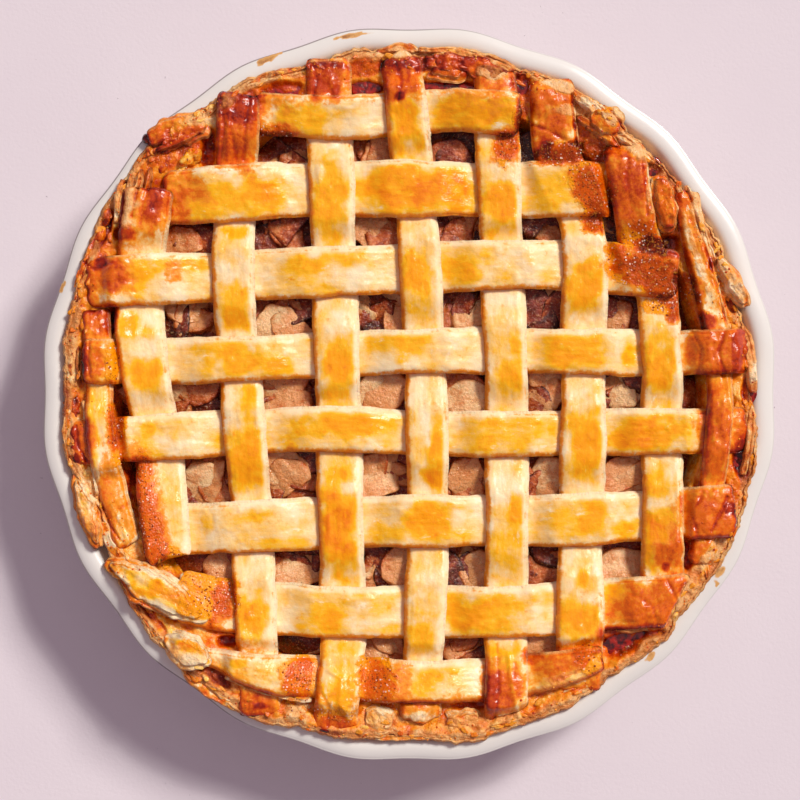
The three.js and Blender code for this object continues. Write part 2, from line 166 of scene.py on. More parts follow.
def ease(value, low, high):
    """0 below low, 1 above high and a smooth rise between. high may be the lower of the two."""
    t = np.clip((value - low) / (high - low), 0, 1)
    return t * t * (3 - 2 * t)


# Large numbers that stir a whole-number place into a repeatable draw.
MIXERS = (73856093, 19349663, 83492791, 40503)
STIRRER = 1274126177
ALL_BITS = 0xFFFFFFFF
LOW_BITS = 0xFFFF


def lattice_value(x, y, z, seed):
    """A repeatable number from -1 to 1 for each whole-number place."""
    mixed = 0
    for value, mixer in zip((x, y, z, seed), MIXERS):
        mixed = mixed ^ (value * mixer)
    mixed = mixed & ALL_BITS
    mixed = ((mixed ^ (mixed >> 13)) * STIRRER) & ALL_BITS
    mixed = mixed ^ (mixed >> 16)
    return (mixed & LOW_BITS) * 2 / LOW_BITS - 1


def noise(x, y, z, size, seed, layers=1):
    """Smooth noise from -1 to 1 with features of that size, and finer ones in each further layer.

    Each seed gives a pattern of its own.
    """
    x, y, z = np.broadcast_arrays(np.asarray(x, float), y, z)
    total = np.zeros(x.shape)
    weight = 1.0
    for layer in range(layers):
        spots = [v * 2.0**layer / size for v in (x, y, z)]
        cells = [np.floor(s).astype(np.int64) for s in spots]
        shares = [s - c for s, c in zip(spots, cells)]
        eased = [t * t * t * (t * (6 * t - 15) + 10) for t in shares]
        for corner in range(8):
            steps = [(corner >> k) & 1 for k in range(3)]
            share = weight
            for t, step in zip(eased, steps):
                share = share * (t if step else 1 - t)
            corners = [c + step for c, step in zip(cells, steps)]
            total += share * lattice_value(*corners, seed + 17 * layer)
        weight *= 0.5
    return total


def quarter(share):
    """Rises from 0 to 1 as a quarter circle does."""
    return np.sqrt(np.clip(1 - (1 - np.clip(share, 0, 1)) ** 2, 0, 1))


def circle(count):
    """Angles evenly round a circle."""
    return np.arange(count) * 2 * math.pi / count


def placed(x, y, u, v, turn):
    """Where u along and v across a direction lead from a place. turn is in radians."""
    c, s = math.cos(turn), math.sin(turn)
    return x + u * c - v * s, y + u * s + v * c


def directions(middle):
    """Unit vectors along a line of points."""
    along = np.gradient(middle, axis=0)
    return along / np.linalg.norm(along, axis=1)[:, None]


bed_height = smooth_line(BED)


def bed_at(x, y):
    return bed_height(np.hypot(x, y))


def wall_point(u, offset):
    """A point of the dish's inner wall at share u of its way up, moved in by offset."""
    run = WALL_HEAD[0] - WALL_FOOT[0]
    rise = WALL_HEAD[1] - WALL_FOOT[1]
    slope = rise * (1 + WALL_FLARE - 2 * WALL_FLARE * u) / run
    scale = offset / math.hypot(1, slope)
    height = WALL_FOOT[1] + rise * ((1 + WALL_FLARE) * u - WALL_FLARE * u * u)
    return WALL_FOOT[0] + run * u - slope * scale, height + scale


def scallop_at(height, angle):
    share = (height - SCALLOPS["start"]) / (LIP_CREST[1] - SCALLOPS["start"])
    wave = np.cos(SCALLOPS["count"] * (angle - math.radians(SCALLOPS["first"])))
    return SCALLOPS["depth"] * np.clip(share, 0, 1) * wave


class Shape:
    """Collects closed surfaces and their values, and makes one mesh object of them."""

    NAMES = ("bake", "wash", "cut", "syrup", "tone")

    def __init__(self):
        self.points = []
        self.quads = []
        self.triangles = []
        self.lay = []
        self.values = {name: [] for name in self.NAMES}
        self.count = 0

    def tube(self, rings, values, ends=None, lay=None):
        """Adds a surface through rings, an array (rows, around, 3), closed by one point at each end."""
        rows, around, _ = rings.shape
        if ends is None:
            ends = [rings[0].mean(0), rings[-1].mean(0)]
        points = np.concatenate([rings.reshape(-1, 3), np.array(ends, float).reshape(2, 3)])
        here = np.arange(rows - 1)[:, None] * around + np.arange(around)
        there = np.arange(rows - 1)[:, None] * around + (np.arange(around) + 1) % around
        quads = np.stack([here, there, there + around, here + around], -1).reshape(-1, 4)
        k = np.arange(around)
        n = (k + 1) % around
        last = (rows - 1) * around
        start = np.stack([n, k, np.full(around, rows * around)], -1)
        end = np.stack([last + k, last + n, np.full(around, rows * around + 1)], -1)
        triangles = np.concatenate([start, end])
        if signed_volume(points, quads, triangles) < 0:
            quads = quads[:, ::-1]
            triangles = triangles[:, ::-1]
        self.points.append(points)
        self.quads.append(quads + self.count)
        self.triangles.append(triangles + self.count)
        self.count += len(points)
        for name in self.NAMES:
            value = np.broadcast_to(np.asarray(values.get(name, 0.0), float), (rows, around))
            poles = [value[0].mean(), value[-1].mean()]
            self.values[name].append(np.concatenate([value.ravel(), poles]))
        if lay is None:
            self.lay.append(points)
        else:
            flat = lay.reshape(-1, 3)
            self.lay.append(np.concatenate([flat, [lay[0].mean(0), lay[-1].mean(0)]]))

    def build(self, name, material):
        mesh = bpy.data.meshes.new(name)
        quads = np.concatenate(self.quads).tolist()
        triangles = np.concatenate(self.triangles).tolist()
        points = np.concatenate(self.points) * MM
        mesh.from_pydata(points.tolist(), [], quads + triangles)
        for key, parts in self.values.items():
            attribute = mesh.attributes.new(key, "FLOAT", "POINT")
            attribute.data.foreach_set("value", np.concatenate(parts).astype(np.float32))
        attribute = mesh.attributes.new("lay", "FLOAT_VECTOR", "POINT")
        attribute.data.foreach_set("vector", np.concatenate(self.lay).astype(np.float32).ravel())
        mesh.shade_smooth()
        mesh.materials.append(material)
        piece = bpy.data.objects.new(name, mesh)
        bpy.context.scene.collection.objects.link(piece)
        return piece


def signed_volume(points, quads, triangles):
    corners = np.concatenate([quads[:, [0, 1, 2]], quads[:, [0, 2, 3]], triangles])
    a, b, c = (points[corners[:, k]] for k in range(3))
    return float(np.einsum("ij,ij->i", a, np.cross(b, c)).sum())


def dress(piece, slot, *nodes):
    """Says what a finished piece rides on and which nodes it stands for; slot, the finish, is not used."""
    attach(piece, "root")
    if nodes:
        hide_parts(*nodes)


# Materials

def shade(text):
    """A colour as a renderer's numbers, from six hexadecimal digits of screen colour."""
    parts = [int(text[k:k + 2], 16) / 255 for k in (0, 2, 4)]
    linear = [p / 12.92 if p <= 0.04045 else ((p + 0.055) / 1.055) ** 2.4 for p in parts]
    return (*linear, 1.0)


class Look:
    """One material's nodes, made by short calls. Sizes are in millimetres."""

    def __init__(self, name, **settings):
        self.material = bpy.data.materials.new(name)
        self.material.use_nodes = True
        self.tree = self.material.node_tree
        self.shader = self.tree.nodes["Principled BSDF"]
        self.lay = self.read("lay", "Vector")
        for key, value in settings.items():
            self.shader.inputs[key.replace("_", " ")].default_value = value

    def node(self, kind, inputs, **settings):
        made = self.tree.nodes.new(kind)
        for key, value in settings.items():
            setattr(made, key, value)
        for key, value in inputs.items():
            self.feed(made.inputs[key], value)
        return made

    def feed(self, socket, value):
        if isinstance(value, bpy.types.NodeSocket):
            self.tree.links.new(value, socket)
        else:
            socket.default_value = value

    def set(self, name, value):
        self.feed(self.shader.inputs[name], value)

    def read(self, name, output="Fac"):
        return self.node("ShaderNodeAttribute", {}, attribute_name=name).outputs[output]

    def stretched(self, along, across=1.0):
        """Places with patterns drawn out by those factors."""
        scale = (1 / along, 1 / across, 1.0)
        made = self.node("ShaderNodeVectorMath", {0: self.lay, 1: scale}, operation="MULTIPLY")
        return made.outputs[0]

    def noise(self, size, detail=3.0, rough=0.55, where=None, warp=0.0):
        inputs = {"Scale": 1 / size, "Detail": detail, "Roughness": rough, "Distortion": warp}
        inputs["Vector"] = where or self.lay
        return self.node("ShaderNodeTexNoise", inputs).outputs["Fac"]

    def cells(self, size):
        inputs = {"Scale": 1 / size, "Vector": self.lay}
        return self.node("ShaderNodeTexVoronoi", inputs, feature="F1").outputs["Distance"]

    def maths(self, operation, a, b=0.0, c=0.0):
        made = self.node("ShaderNodeMath", {0: a, 1: b, 2: c}, operation=operation)
        return made.outputs[0]

    def rise(self, value, low, high, most=1.0):
        inputs = {"Value": value, "From Min": low, "From Max": high, "To Min": 0.0, "To Max": most}
        made = self.node("ShaderNodeMapRange", inputs, interpolation_type="SMOOTHSTEP")
        return made.outputs["Result"]

    def mix(self, share, a, b):
        colours = [shade(v) if isinstance(v, str) else v for v in (a, b)]
        inputs = {0: share, 6: colours[0], 7: colours[1]}
        return self.node("ShaderNodeMix", inputs, data_type="RGBA").outputs[2]

    def blend(self, share, a, b):
        return self.node("ShaderNodeMix", {0: share, 2: a, 3: b}).outputs[0]

    def grade(self, value, colour, *steps):
        """A colour that turns into each step's, (low, high, colour), as value rises from low to high."""
        for low, high, step in steps:
            colour = self.mix(self.rise(value, low, high), colour, step)
        return colour

    def relief(self, *layers):
        """Relief from layers of a height from 0 to 1 and its depth, each on top of those before."""
        inputs = {"Strength": 1.0}
        for height, depth in layers:
            made = self.node("ShaderNodeBump", {**inputs, "Height": height, "Distance": depth * MM})
            inputs["Normal"] = made.outputs["Normal"]
        return inputs["Normal"]


def glaze_look():
    look = Look("white_glaze", Roughness=0.28, Coat_Weight=0.2, Coat_Roughness=0.12)
    stain = look.maths("ADD", look.read("bake"), look.maths("MULTIPLY", look.noise(3, 5), 0.5))
    white = look.mix(look.noise(30, 2), "e6e3da", "e0dcd3")
    # Grey at the lip's outer edge: partly glaze thinned at the edge, partly painted shade.
    white = look.mix(look.rise(look.read("cut"), 0.2, 0.8), white, "968c88")
    tinted = look.mix(look.rise(stain, 0.55, 0.9), white, "d9a25a")
    look.set("Base Color", look.mix(look.rise(stain, 0.95, 1.2), tinted, "8a4a1e"))
    look.set("Roughness", look.blend(look.rise(stain, 0.6, 0.9), 0.28, 0.5))
    look.set("Normal", look.relief((look.noise(9, 2), 0.12)))
    return look.material


def dough_look(name, crumb):
    """Baked dough: cream where pale, golden where washed with egg, brown to burnt where bake is high."""
    look = Look(
        name, Coat_Weight=0.2, Coat_Roughness=0.17, Subsurface_Weight=0.16, Subsurface_Scale=0.0025,
        Specular_IOR_Level=0.3,
    )
    look.set("Subsurface Radius", (1.0, 0.45, 0.18))
    brushed = look.noise(1.3, 3, where=look.stretched(6))
    bare = look.noise(3.4, 4, 0.62, where=look.stretched(2.2))
    blotch = look.noise(6, 5, 0.6, warp=0.5)
    fine = look.noise(1.5, 4, 0.65)
    grain = look.noise(0.55, 3)
    mottle = look.maths("SUBTRACT", blotch, 0.5)
    speckle = look.maths("SUBTRACT", fine, 0.5)
    egg = look.read("wash")
    stir = look.maths("MULTIPLY_ADD", mottle, 0.9, look.maths("MULTIPLY_ADD", brushed, 0.4, -0.2))
    stir = look.maths("MULTIPLY_ADD", speckle, 0.35, stir)
    wash = look.maths("MULTIPLY_ADD", stir, look.rise(egg, 0.0, 0.5), egg)
    wash = look.maths("SUBTRACT", wash, look.rise(bare, 0.6, 0.76, 0.5))
    bake = look.maths("MULTIPLY_ADD", mottle, 0.8, look.read("bake"))
    bake = look.maths("MULTIPLY_ADD", speckle, 0.7, bake)
    cut = look.maths("MULTIPLY_ADD", speckle, 0.6, look.read("cut"))
    shore = look.maths("MULTIPLY_ADD", speckle, 0.9, look.maths("ADD", look.read("syrup"), mottle))
    syrup = look.rise(shore, 0.3, 0.7)
    egged = look.mix(look.rise(blotch, 0.3, 0.7), "ffe8bc", "fdd898")
    egged = look.grade(wash, egged, (0.02, 0.46, "ffcc76"), (0.32, 0.74, "ffbc1a"))
    egged = look.grade(wash, egged, (0.64, 1.02, "ffa304"), (0.98, 1.35, "f07c00"))
    egged = look.grade(bake, egged, (0.1, 0.36, "f6981e"), (0.34, 0.62, "e66a04"), (0.6, 0.9, "be3a04"))
    plain = look.grade(bake, "fce0b4", (-0.1, 0.3, "efb878"), (0.3, 0.6, "d68a44"), (0.6, 0.95, "a04e1c"))
    colour = look.mix(look.rise(cut, 0.25, 0.95, 0.9), egged, plain)
    colour = look.grade(bake, colour, (0.9, 1.15, "861804"), (1.2, 1.5, "260503"))
    froth = look.grade(bake, "f89c08", (0.3, 0.6, "de5c02"), (0.6, 0.85, "ac3c02"), (0.85, 1.1, "5e1604"))
    froth = look.mix(look.rise(fine, 0.46, 0.36, 0.5), froth, "8a2c02")
    froth = look.mix(look.rise(fine, 0.54, 0.64, 0.4), froth, "ffa838")
    # Painted glints: pale dots mixed into the juice glaze's colour.
    glints = look.maths("MULTIPLY", look.rise(look.cells(1.3), 0.3, 0.2), look.rise(bare, 0.5, 0.58))
    froth = look.mix(look.maths("MULTIPLY", glints, 0.85), froth, "ffe6d0")
    colour = look.mix(syrup, colour, froth)
    colour = look.mix(look.rise(grain, 0.6, 0.8, 0.12), colour, "9a3c10")
    look.set("Base Color", colour)
    rough = look.blend(look.rise(wash, 0.2, 0.7), 0.4, 0.22)
    rough = look.blend(look.rise(bake, 0.4, 0.9), rough, 0.2)
    rough = look.blend(look.rise(cut, 0.3, 0.9), rough, 0.6)
    look.set("Roughness", look.blend(syrup, rough, 0.3))
    look.set("Coat Weight", look.blend(syrup, look.blend(look.rise(bake, 0.3, 0.7), 0.16, 0.3), 0.14))
    look.set("Specular IOR Level", look.blend(syrup, 0.3, 0.16))
    crumbly = look.maths("MULTIPLY", look.noise(0.9, 3, 0.6), look.rise(cut, 0.3, 0.9))
    foam = look.maths("MULTIPLY", look.maths("ADD", look.cells(0.8), fine), syrup)
    normal = look.relief(
        (grain, 0.03 + 0.3 * crumb),
        (brushed, 0.08),
        (look.noise(2.6, 4, 0.55), 0.24 + 0.9 * crumb),
        (crumbly, 0.7),
        (foam, 0.16),
    )
    look.set("Normal", normal)
    look.set("Coat Normal", normal)
    return look.material


def apple_look():
    """Cooked apple with cinnamon: pale where tone is high, brown where it is low, with dark specks."""
    look = Look(
        "cooked_apple", Coat_Weight=0.4, Coat_Roughness=0.12, Subsurface_Weight=0.15, Subsurface_Scale=0.003,
        Specular_IOR_Level=0.35,
    )
    look.set("Subsurface Radius", (1.0, 0.4, 0.15))
    grain = look.noise(0.5, 4, 0.65)
    cloud = look.noise(4, 5, 0.65, warp=0.6)
    fibre = look.noise(0.8, 3, where=look.stretched(5, 1.5))
    specks = look.cells(0.9)
    tone = look.maths("MULTIPLY_ADD", look.maths("SUBTRACT", cloud, 0.5), 1.0, look.read("tone"))
    tone = look.maths("MULTIPLY_ADD", look.maths("SUBTRACT", fibre, 0.5), 0.3, tone)
    colour = look.grade(tone, "380c02", (-0.1, 0.34, "8e2c02"), (0.24, 0.54, "c86222"))
    colour = look.grade(tone, colour, (0.5, 0.8, "e2985a"), (0.82, 1.15, "f4c890"))
    colour = look.mix(look.rise(grain, 0.52, 0.74, 0.28), colour, "963e0e")
    colour = look.mix(look.rise(specks, 0.22, 0.08, 0.7), colour, "4a1404")
    colour = look.mix(look.rise(look.noise(0.9, 3), 0.56, 0.68, 0.4), colour, "f6c088")
    look.set("Base Color", colour)
    look.set("Roughness", look.blend(look.rise(cloud, 0.4, 0.6), 0.16, 0.42))
    normal = look.relief((grain, 0.22), (fibre, 0.25), (look.noise(1.1, 3), 0.4), (look.noise(2.4, 3), 0.6))
    look.set("Normal", normal)
    look.set("Coat Normal", normal)
    return look.material


def syrup_look(name, dark, light):
    look = Look(name, Roughness=0.1, Coat_Weight=0.6, Coat_Roughness=0.03, Specular_IOR_Level=0.3)
    look.set("Base Color", look.mix(look.rise(look.noise(2.2, 4), 0.35, 0.65), dark, light))
    look.set("Normal", look.relief((look.noise(1.1, 3), 0.35)))
    return look.material


def floor_look():
    look = Look("pale_floor", Roughness=0.75)
    cloud = look.noise(60, 5, 0.6)
    pale = look.mix(cloud, "e1d8da", "dbd0d4")
    specks = look.rise(look.noise(2.2, 2, warp=0.4), 0.76, 0.8, 0.7)
    look.set("Base Color", look.mix(specks, pale, "8a7a80"))
    look.set("Normal", look.relief((look.noise(1.5, 4), 0.1)))
    return look.material


# How brown, glazed and burnt the dough is, by place on the pie

def to_mm(px, py):
    return (px - PIE_PIXEL[0]) * MM_PER_PIXEL, (PIE_PIXEL[1] - py) * MM_PER_PIXEL


SQUARENESS = 2.6  # 2 would make each spot an ellipse


def near(x, y, spot, ragged=0.0, soft=0.3):
    """1 inside a rounded spot and 0 well outside it: pixel place, half length, half width and turn."""
    px, py, long, wide, turn = spot
    cx, cy = to_mm(px, py)
    c, s = math.cos(math.radians(turn)), math.sin(math.radians(turn))
    u = ((x - cx) * c + (y - cy) * s) / (long * MM_PER_PIXEL)
    v = ((y - cy) * c - (x - cx) * s) / (wide * MM_PER_PIXEL)
    away = (np.abs(u) ** SQUARENESS + np.abs(v) ** SQUARENESS) ** (1 / SQUARENESS)
    return ease(away + ragged, 1 + soft, 1 - soft)


def strongest(x, y, spots, ragged=0.0, soft=0.3):
    """The strongest of many spots, each with its strength last."""
    amount = np.zeros(np.shape(x))
    for *spot, strength in spots:
        amount = np.maximum(amount, strength * near(x, y, spot, ragged, soft))
    return amount


# Where each strip is washed with egg: pixel place, half sizes to the right and up, and strength.
WASHED = {
    "cross_strip_0": [(305, 122, 30, 15, 0.8), (355, 111, 15, 7, 0.4), (476, 115, 46, 19, 1.0)],
    "cross_strip_1": [
        (228, 200, 63, 18, 0.85), (262, 195, 26, 15, 1.0), (420, 190, 50, 21, 1.15), (556, 192, 27, 20, 0.75),
    ],
    "cross_strip_2": [
        (128, 276, 26, 18, 0.95), (168, 263, 16, 9, 0.75), (193, 264, 15, 10, 0.95), (305, 277, 38, 20, 0.5),
        (312, 266, 22, 9, 0.8), (350, 261, 17, 8, 0.7), (325, 291, 18, 8, 0.7), (463, 267, 19, 14, 0.85),
        (487, 260, 14, 11, 0.5), (533, 261, 9, 9, 0.4),
    ],
    "cross_strip_3": [
        (97, 360, 12, 20, 0.9), (237, 359, 26, 18, 0.9), (194, 351, 15, 6, 0.65), (282, 366, 15, 8, 0.85),
        (402, 343, 27, 12, 0.8), (403, 358, 9, 7, 0.7), (450, 352, 30, 14, 0.3), (572, 350, 34, 17, 0.9),
        (629, 354, 8, 11, 0.9),
    ],
    "cross_strip_4": [
        (155, 428, 30, 10, 0.5), (150, 430, 9, 8, 0.8), (147, 447, 16, 12, 0.65), (330, 430, 62, 16, 0.5),
        (350, 425, 44, 11, 0.9), (507, 434, 46, 18, 0.7), (492, 424, 16, 8, 0.85), (551, 429, 5, 10, 0.85),
        (651, 434, 36, 15, 1.1),
    ],
    "cross_strip_5": [
        (255, 527, 48, 17, 0.36), (208, 522, 7, 12, 0.75), (255, 516, 18, 7, 0.6), (281, 545, 34, 7, 0.7),
        (428, 522, 26, 19, 1.0), (390, 531, 25, 11, 0.75), (580, 520, 36, 18, 0.65), (592, 520, 14, 16, 0.9),
        (622, 529, 16, 9, 0.85),
    ],
    "cross_strip_6": [
        (322, 618, 20, 14, 0.95), (320, 597, 34, 11, 0.5), (388, 628, 16, 6, 0.65), (483, 613, 38, 20, 0.85),
        (470, 618, 20, 11, 1.0), (540, 598, 16, 7, 0.5), (640, 600, 40, 20, 1.0),
    ],
    "cross_strip_7": [
        (238, 661, 10, 7, 0.9), (265, 670, 24, 11, 0.45), (428, 676, 17, 14, 0.85),
        (565, 658, 30, 14, 0.9),
    ],
    "upright_strip_0": [(93, 430, 7, 45, 0.8)],
    "upright_strip_1": [
        (131, 327, 10, 11, 0.9), (149, 380, 16, 18, 0.9), (148, 334, 7, 6, 0.6), (172, 508, 10, 26, 0.42),
    ],
    "upright_strip_2": [
        (236, 232, 14, 7, 0.8), (237, 300, 17, 17, 0.75), (236, 318, 13, 10, 0.95), (250, 402, 8, 16, 0.85),
        (247, 463, 17, 27, 1.0), (256, 612, 13, 20, 1.0),
    ],
    "upright_strip_3": [
        (332, 205, 19, 37, 0.85), (340, 372, 14, 28, 1.0), (339, 530, 16, 43, 1.2), (343, 660, 18, 18, 0.55),
        (337, 694, 18, 18, 1.0),
    ],
    "upright_strip_4": [
        (406, 124, 15, 27, 1.05), (415, 270, 14, 23, 1.0), (418, 305, 15, 15, 0.6), (437, 448, 8, 38, 0.9),
        (434, 477, 10, 10, 1.1), (420, 448, 10, 14, 0.5), (422, 606, 16, 18, 0.5), (422, 638, 14, 15, 0.85),
    ],
    "upright_strip_5": [
        (501, 208, 17, 25, 1.0), (500, 338, 9, 20, 0.5), (515, 346, 8, 10, 0.9), (511, 377, 14, 18, 0.85),
        (514, 512, 7, 15, 0.9), (506, 552, 16, 26, 0.65), (500, 670, 18, 22, 0.9),
    ],
    "upright_strip_6": [
        (584, 288, 18, 25, 1.0), (584, 446, 17, 31, 0.95), (582, 575, 7, 14, 0.95), (579, 618, 18, 21, 1.05),
    ],
    "upright_strip_7": [(658, 369, 13, 27, 1.0), (656, 481, 13, 18, 0.75), (656, 533, 14, 27, 1.2)],
    "upright_strip_8": [(716, 434, 14, 48, 1.1)],
}
# Dough that is browned, near 1 for burnt: pixel place, half sizes, turn and strength.
BAKED = [
    (628, 184, 42, 22, 100, 0.74), (664, 207, 34, 15, 105, 0.62), (700, 250, 75, 9, 112, 0.42),
    (712, 352, 32, 26, 0, 0.62), (735, 350, 26, 9, 90, 0.92), (716, 434, 52, 19, 90, 0.62),
    (706, 512, 32, 26, 0, 0.64), (728, 507, 8, 8, 0, 1.05), (662, 552, 12, 10, 90, 0.6),
    (664, 566, 4, 5, 0, 0.95), (650, 600, 45, 24, 18, 0.6), (612, 632, 16, 9, 20, 0.9),
    (565, 660, 36, 14, 28, 0.6), (500, 690, 28, 20, 85, 0.7), (492, 695, 24, 8, 90, 0.88),
    (420, 709, 24, 13, 0, 0.48), (300, 676, 22, 17, 90, 0.6), (378, 678, 22, 20, 90, 0.6),
    (334, 722, 20, 10, 0, 0.75), (334, 731, 17, 4, 0, 1.1), (261, 700, 16, 12, 0, 0.7),
    (262, 704, 8, 4, 0, 1.1), (294, 714, 18, 15, 0, 0.6), (84, 441, 14, 21, 0, 0.7),
    (76, 457, 6, 6, 0, 1.15), (74, 440, 18, 4, 90, 0.95), (86, 360, 22, 5, 90, 1.0),
    (99, 360, 12, 20, 0, 0.55), (102, 262, 9, 11, 0, 1.08), (114, 278, 20, 17, 0, 0.7),
    (98, 322, 10, 18, 0, 0.66), (157, 205, 30, 9, 80, 0.84), (156, 205, 12, 5, 80, 1.0),
    (190, 188, 26, 12, -20, 0.5), (108, 228, 22, 8, 80, 0.9), (175, 150, 40, 24, 25, 0.85),
    (146, 140, 5, 6, 0, 1.4), (165, 147, 7, 8, 0, 1.15), (238, 130, 40, 26, 85, 0.7),
    (236, 101, 27, 9, 12, 1.05), (326, 82, 20, 22, 0, 0.82), (326, 67, 22, 5, 0, 1.1),
    (400, 80, 20, 24, 0, 0.7), (400, 98, 6, 5, 0, 1.2), (468, 66, 48, 14, 0, 0.82),
    (494, 82, 19, 12, 0, 0.6), (521, 122, 18, 7, 90, 0.8), (551, 110, 32, 22, 90, 0.64),
    (586, 128, 18, 10, -35, 0.66), (575, 152, 24, 9, 0, 0.7), (640, 216, 26, 18, 100, 0.6),
    (680, 262, 30, 16, 112, 0.5), (746, 352, 42, 9, 90, 0.6), (711, 262, 5, 6, 0, 1.1),
    (731, 305, 7, 4, 110, 0.6), (66, 400, 30, 6, 90, 0.9), (190, 590, 30, 24, -20, 0.3),
    # The rows at (592, 152), (558, 158), (545, 150) and (654, 248) paint dough near burnt round dark gaps:
    # partly burnt glaze, partly painted shade.
    (223, 602, 12, 24, -10, 0.66), (150, 508, 60, 16, 100, 0.58), (592, 152, 22, 14, 0, 1.0),
    (558, 158, 26, 10, 0, 0.9), (545, 150, 9, 14, 0, 1.05), (654, 248, 26, 11, -12, 1.05),
    (592, 226, 12, 10, 0, 0.8), (704, 322, 10, 10, 0, 0.9), (739, 456, 24, 7, 90, 1.0),
    (531, 654, 12, 9, 0, 0.82), (176, 206, 14, 16, 0, 0.62), (175, 270, 9, 12, 0, 0.42),
    (112, 320, 8, 16, 0, 0.85), (126, 234, 14, 10, 0, 0.85), (240, 112, 24, 18, 0, 0.98),
    (514, 80, 8, 14, 0, 0.85), (400, 680, 12, 20, 0, 0.45), (672, 544, 8, 22, 0, 0.62),
    (160, 160, 12, 8, 30, 0.95), (674, 308, 9, 14, 0, 0.78), (655, 276, 46, 22, -24, 0.78),
    (592, 190, 30, 18, -62, 0.72), (507, 149, 17, 13, 75, 0.74), (119, 425, 36, 9, 90, 0.7),
    (281, 133, 18, 8, 0, 0.6), (435, 64, 80, 9, 2, 1.0), (365, 66, 18, 14, 0, 0.85),
]
# Juice that boiled over the dough and dried to a bubbly glaze.
GLAZED = [
    (146, 480, 28, 7, 96, 1), (152, 526, 32, 11, 106, 1), (172, 556, 27, 12, -20, 1),
    (208, 597, 29, 24, 0, 1), (119, 424, 34, 9, 90, 1), (115, 364, 22, 6, 90, 1),
    (300, 677, 22, 17, 90, 1), (378, 679, 22, 20, 90, 1), (294, 714, 17, 14, 0, 0.4),
    (334, 712, 20, 8, 0, 0.6), (507, 150, 17, 12, 75, 1), (520, 122, 18, 8, 90, 1),
    (588, 190, 38, 19, -62, 1), (652, 276, 44, 20, -24, 1), (657, 306, 17, 9, 0, 1),
    (279, 134, 18, 7, -8, 0.75), (190, 157, 12, 11, 0, 0.8), (572, 154, 34, 11, 0, 1),
    (638, 240, 34, 15, -14, 1), (684, 292, 10, 10, 0, 0.8), (592, 224, 14, 12, 0, 0.9),
    (671, 306, 10, 12, 0, 0.8), (196, 642, 14, 4, -25, 0.7), (600, 104, 14, 7, -35, 0.7),
    (588, 655, 14, 18, 30, 0.8),
]
# Hollows of the rim that hold dark red juice.
POOLS = [
    (284, 91, 20, 7, 0, 1), (365, 88, 16, 7, 0, 1), (448, 87, 27, 5, 0, 1), (522, 84, 13, 8, 90, 1),
    (653, 168, 10, 9, 110, 1), (712, 260, 6, 6, 0, 1), (731, 305, 8, 4, 112, 1), (748, 388, 15, 8, 85, 1),
    (740, 452, 32, 7, 92, 1), (622, 642, 22, 10, 22, 1), (106, 226, 20, 6, 75, 1),
]
# Hollows that stayed empty; on the crust they are also painted darker as painted shade.
HOLLOWS = [
    (127, 486, 22, 5, 80, 1), (208, 562, 6, 3, 0, 1), (227, 641, 9, 5, 0, 1), (686, 556, 14, 5, 90, 1),
    (207, 152, 18, 7, 80, 1), (112, 320, 13, 4, 90, 1), (665, 247, 16, 9, 0, 1), (610, 226, 8, 13, 0, 1),
    (542, 650, 14, 6, 10, 1), (470, 705, 24, 4, 5, 0.6), (121, 234, 6, 5, 0, 0.9),
    (650, 634, 14, 4, 10, 0.8), (110, 395, 4, 9, 0, 1), (212, 672, 26, 5, -38, 0.8),
    (150, 612, 24, 4, -52, 0.8), (90, 323, 4, 12, 0, 0.8),
]
# Places near the rim that stayed pale.
PALE = [
    (94, 440, 60, 12, 85, 0.8), (157, 588, 54, 13, -29, 0.6), (250, 672, 70, 15, -16, 0.7),
    (428, 676, 24, 17, 0, 0.7), (190, 630, 30, 14, -25, 0.95), (172, 500, 60, 14, 100, 0.8),
    (343, 655, 26, 20, 90, 0.8), (610, 255, 20, 12, 0, 0.5),
]
# Bare, crumbly dough that no egg reached.
CRUMBLY = [
    (131, 200, 26, 12, 80, 0.8), (494, 74, 20, 7, 0, 1), (401, 54, 21, 7, 0, 0.9),
    (326, 62, 22, 4, 0, 0.7), (558, 86, 20, 6, -20, 0.9), (574, 112, 5, 26, 90, 0.7),
    (606, 112, 24, 10, -35, 1), (636, 152, 17, 9, -40, 0.9), (647, 186, 26, 3, 85, 0.7),
    (692, 250, 72, 4, 110, 0.5), (683, 598, 24, 7, 62, 0.9), (420, 716, 22, 6, 0, 0.9),
    (378, 722, 22, 12, 0, 0.6), (470, 722, 42, 12, 8, 0.6), (510, 716, 18, 6, 20, 0.7),
    (294, 716, 17, 12, 0, 0.5), (205, 672, 42, 12, -40, 0.7), (180, 580, 14, 8, -20, 0.5),
    (213, 112, 30, 9, 30, 0.8), (708, 234, 60, 9, 112, 1), (272, 78, 20, 5, 18, 0.9),
    (738, 296, 16, 7, 100, 0.9), (294, 712, 17, 14, 0, 0.8), (96, 478, 14, 7, 100, 0.8),
    (749, 300, 42, 6, 100, 0.7), (450, 52, 90, 5, 0, 0.6), (75, 365, 22, 6, 90, 0.7),
    (92, 516, 34, 10, -70, 0.5), (704, 560, 26, 7, 50, 0.7), (103, 500, 44, 3, -75, 0.6),
    (560, 680, 40, 9, 25, 0.5), (132, 610, 60, 4, -55, 0.6),
]


def crumbled(x, y):
    return strongest(x, y, CRUMBLY, 0.35 * noise(x, y, 0, 4, 55, 3), 0.5)


def baked(x, y):
    """How baked the dough is at a place: more towards the rim, and in the browned spots."""
    rough = noise(x, y, 0, 16, 31, 2)
    amount = 0.6 * ease(np.hypot(x, y) + 5 * rough, 108, 132) * (1 - strongest(x, y, PALE, 0, 0.5))
    amount = np.maximum(amount, strongest(x, y, BAKED, 0.22 * noise(x, y, 0, 4, 32, 3), 0.45))
    return amount - 0.35 * crumbled(x, y)


def glazed(x, y):
    return strongest(x, y, GLAZED, 0.3 * noise(x, y, 0, 5, 33, 3), 0.4)
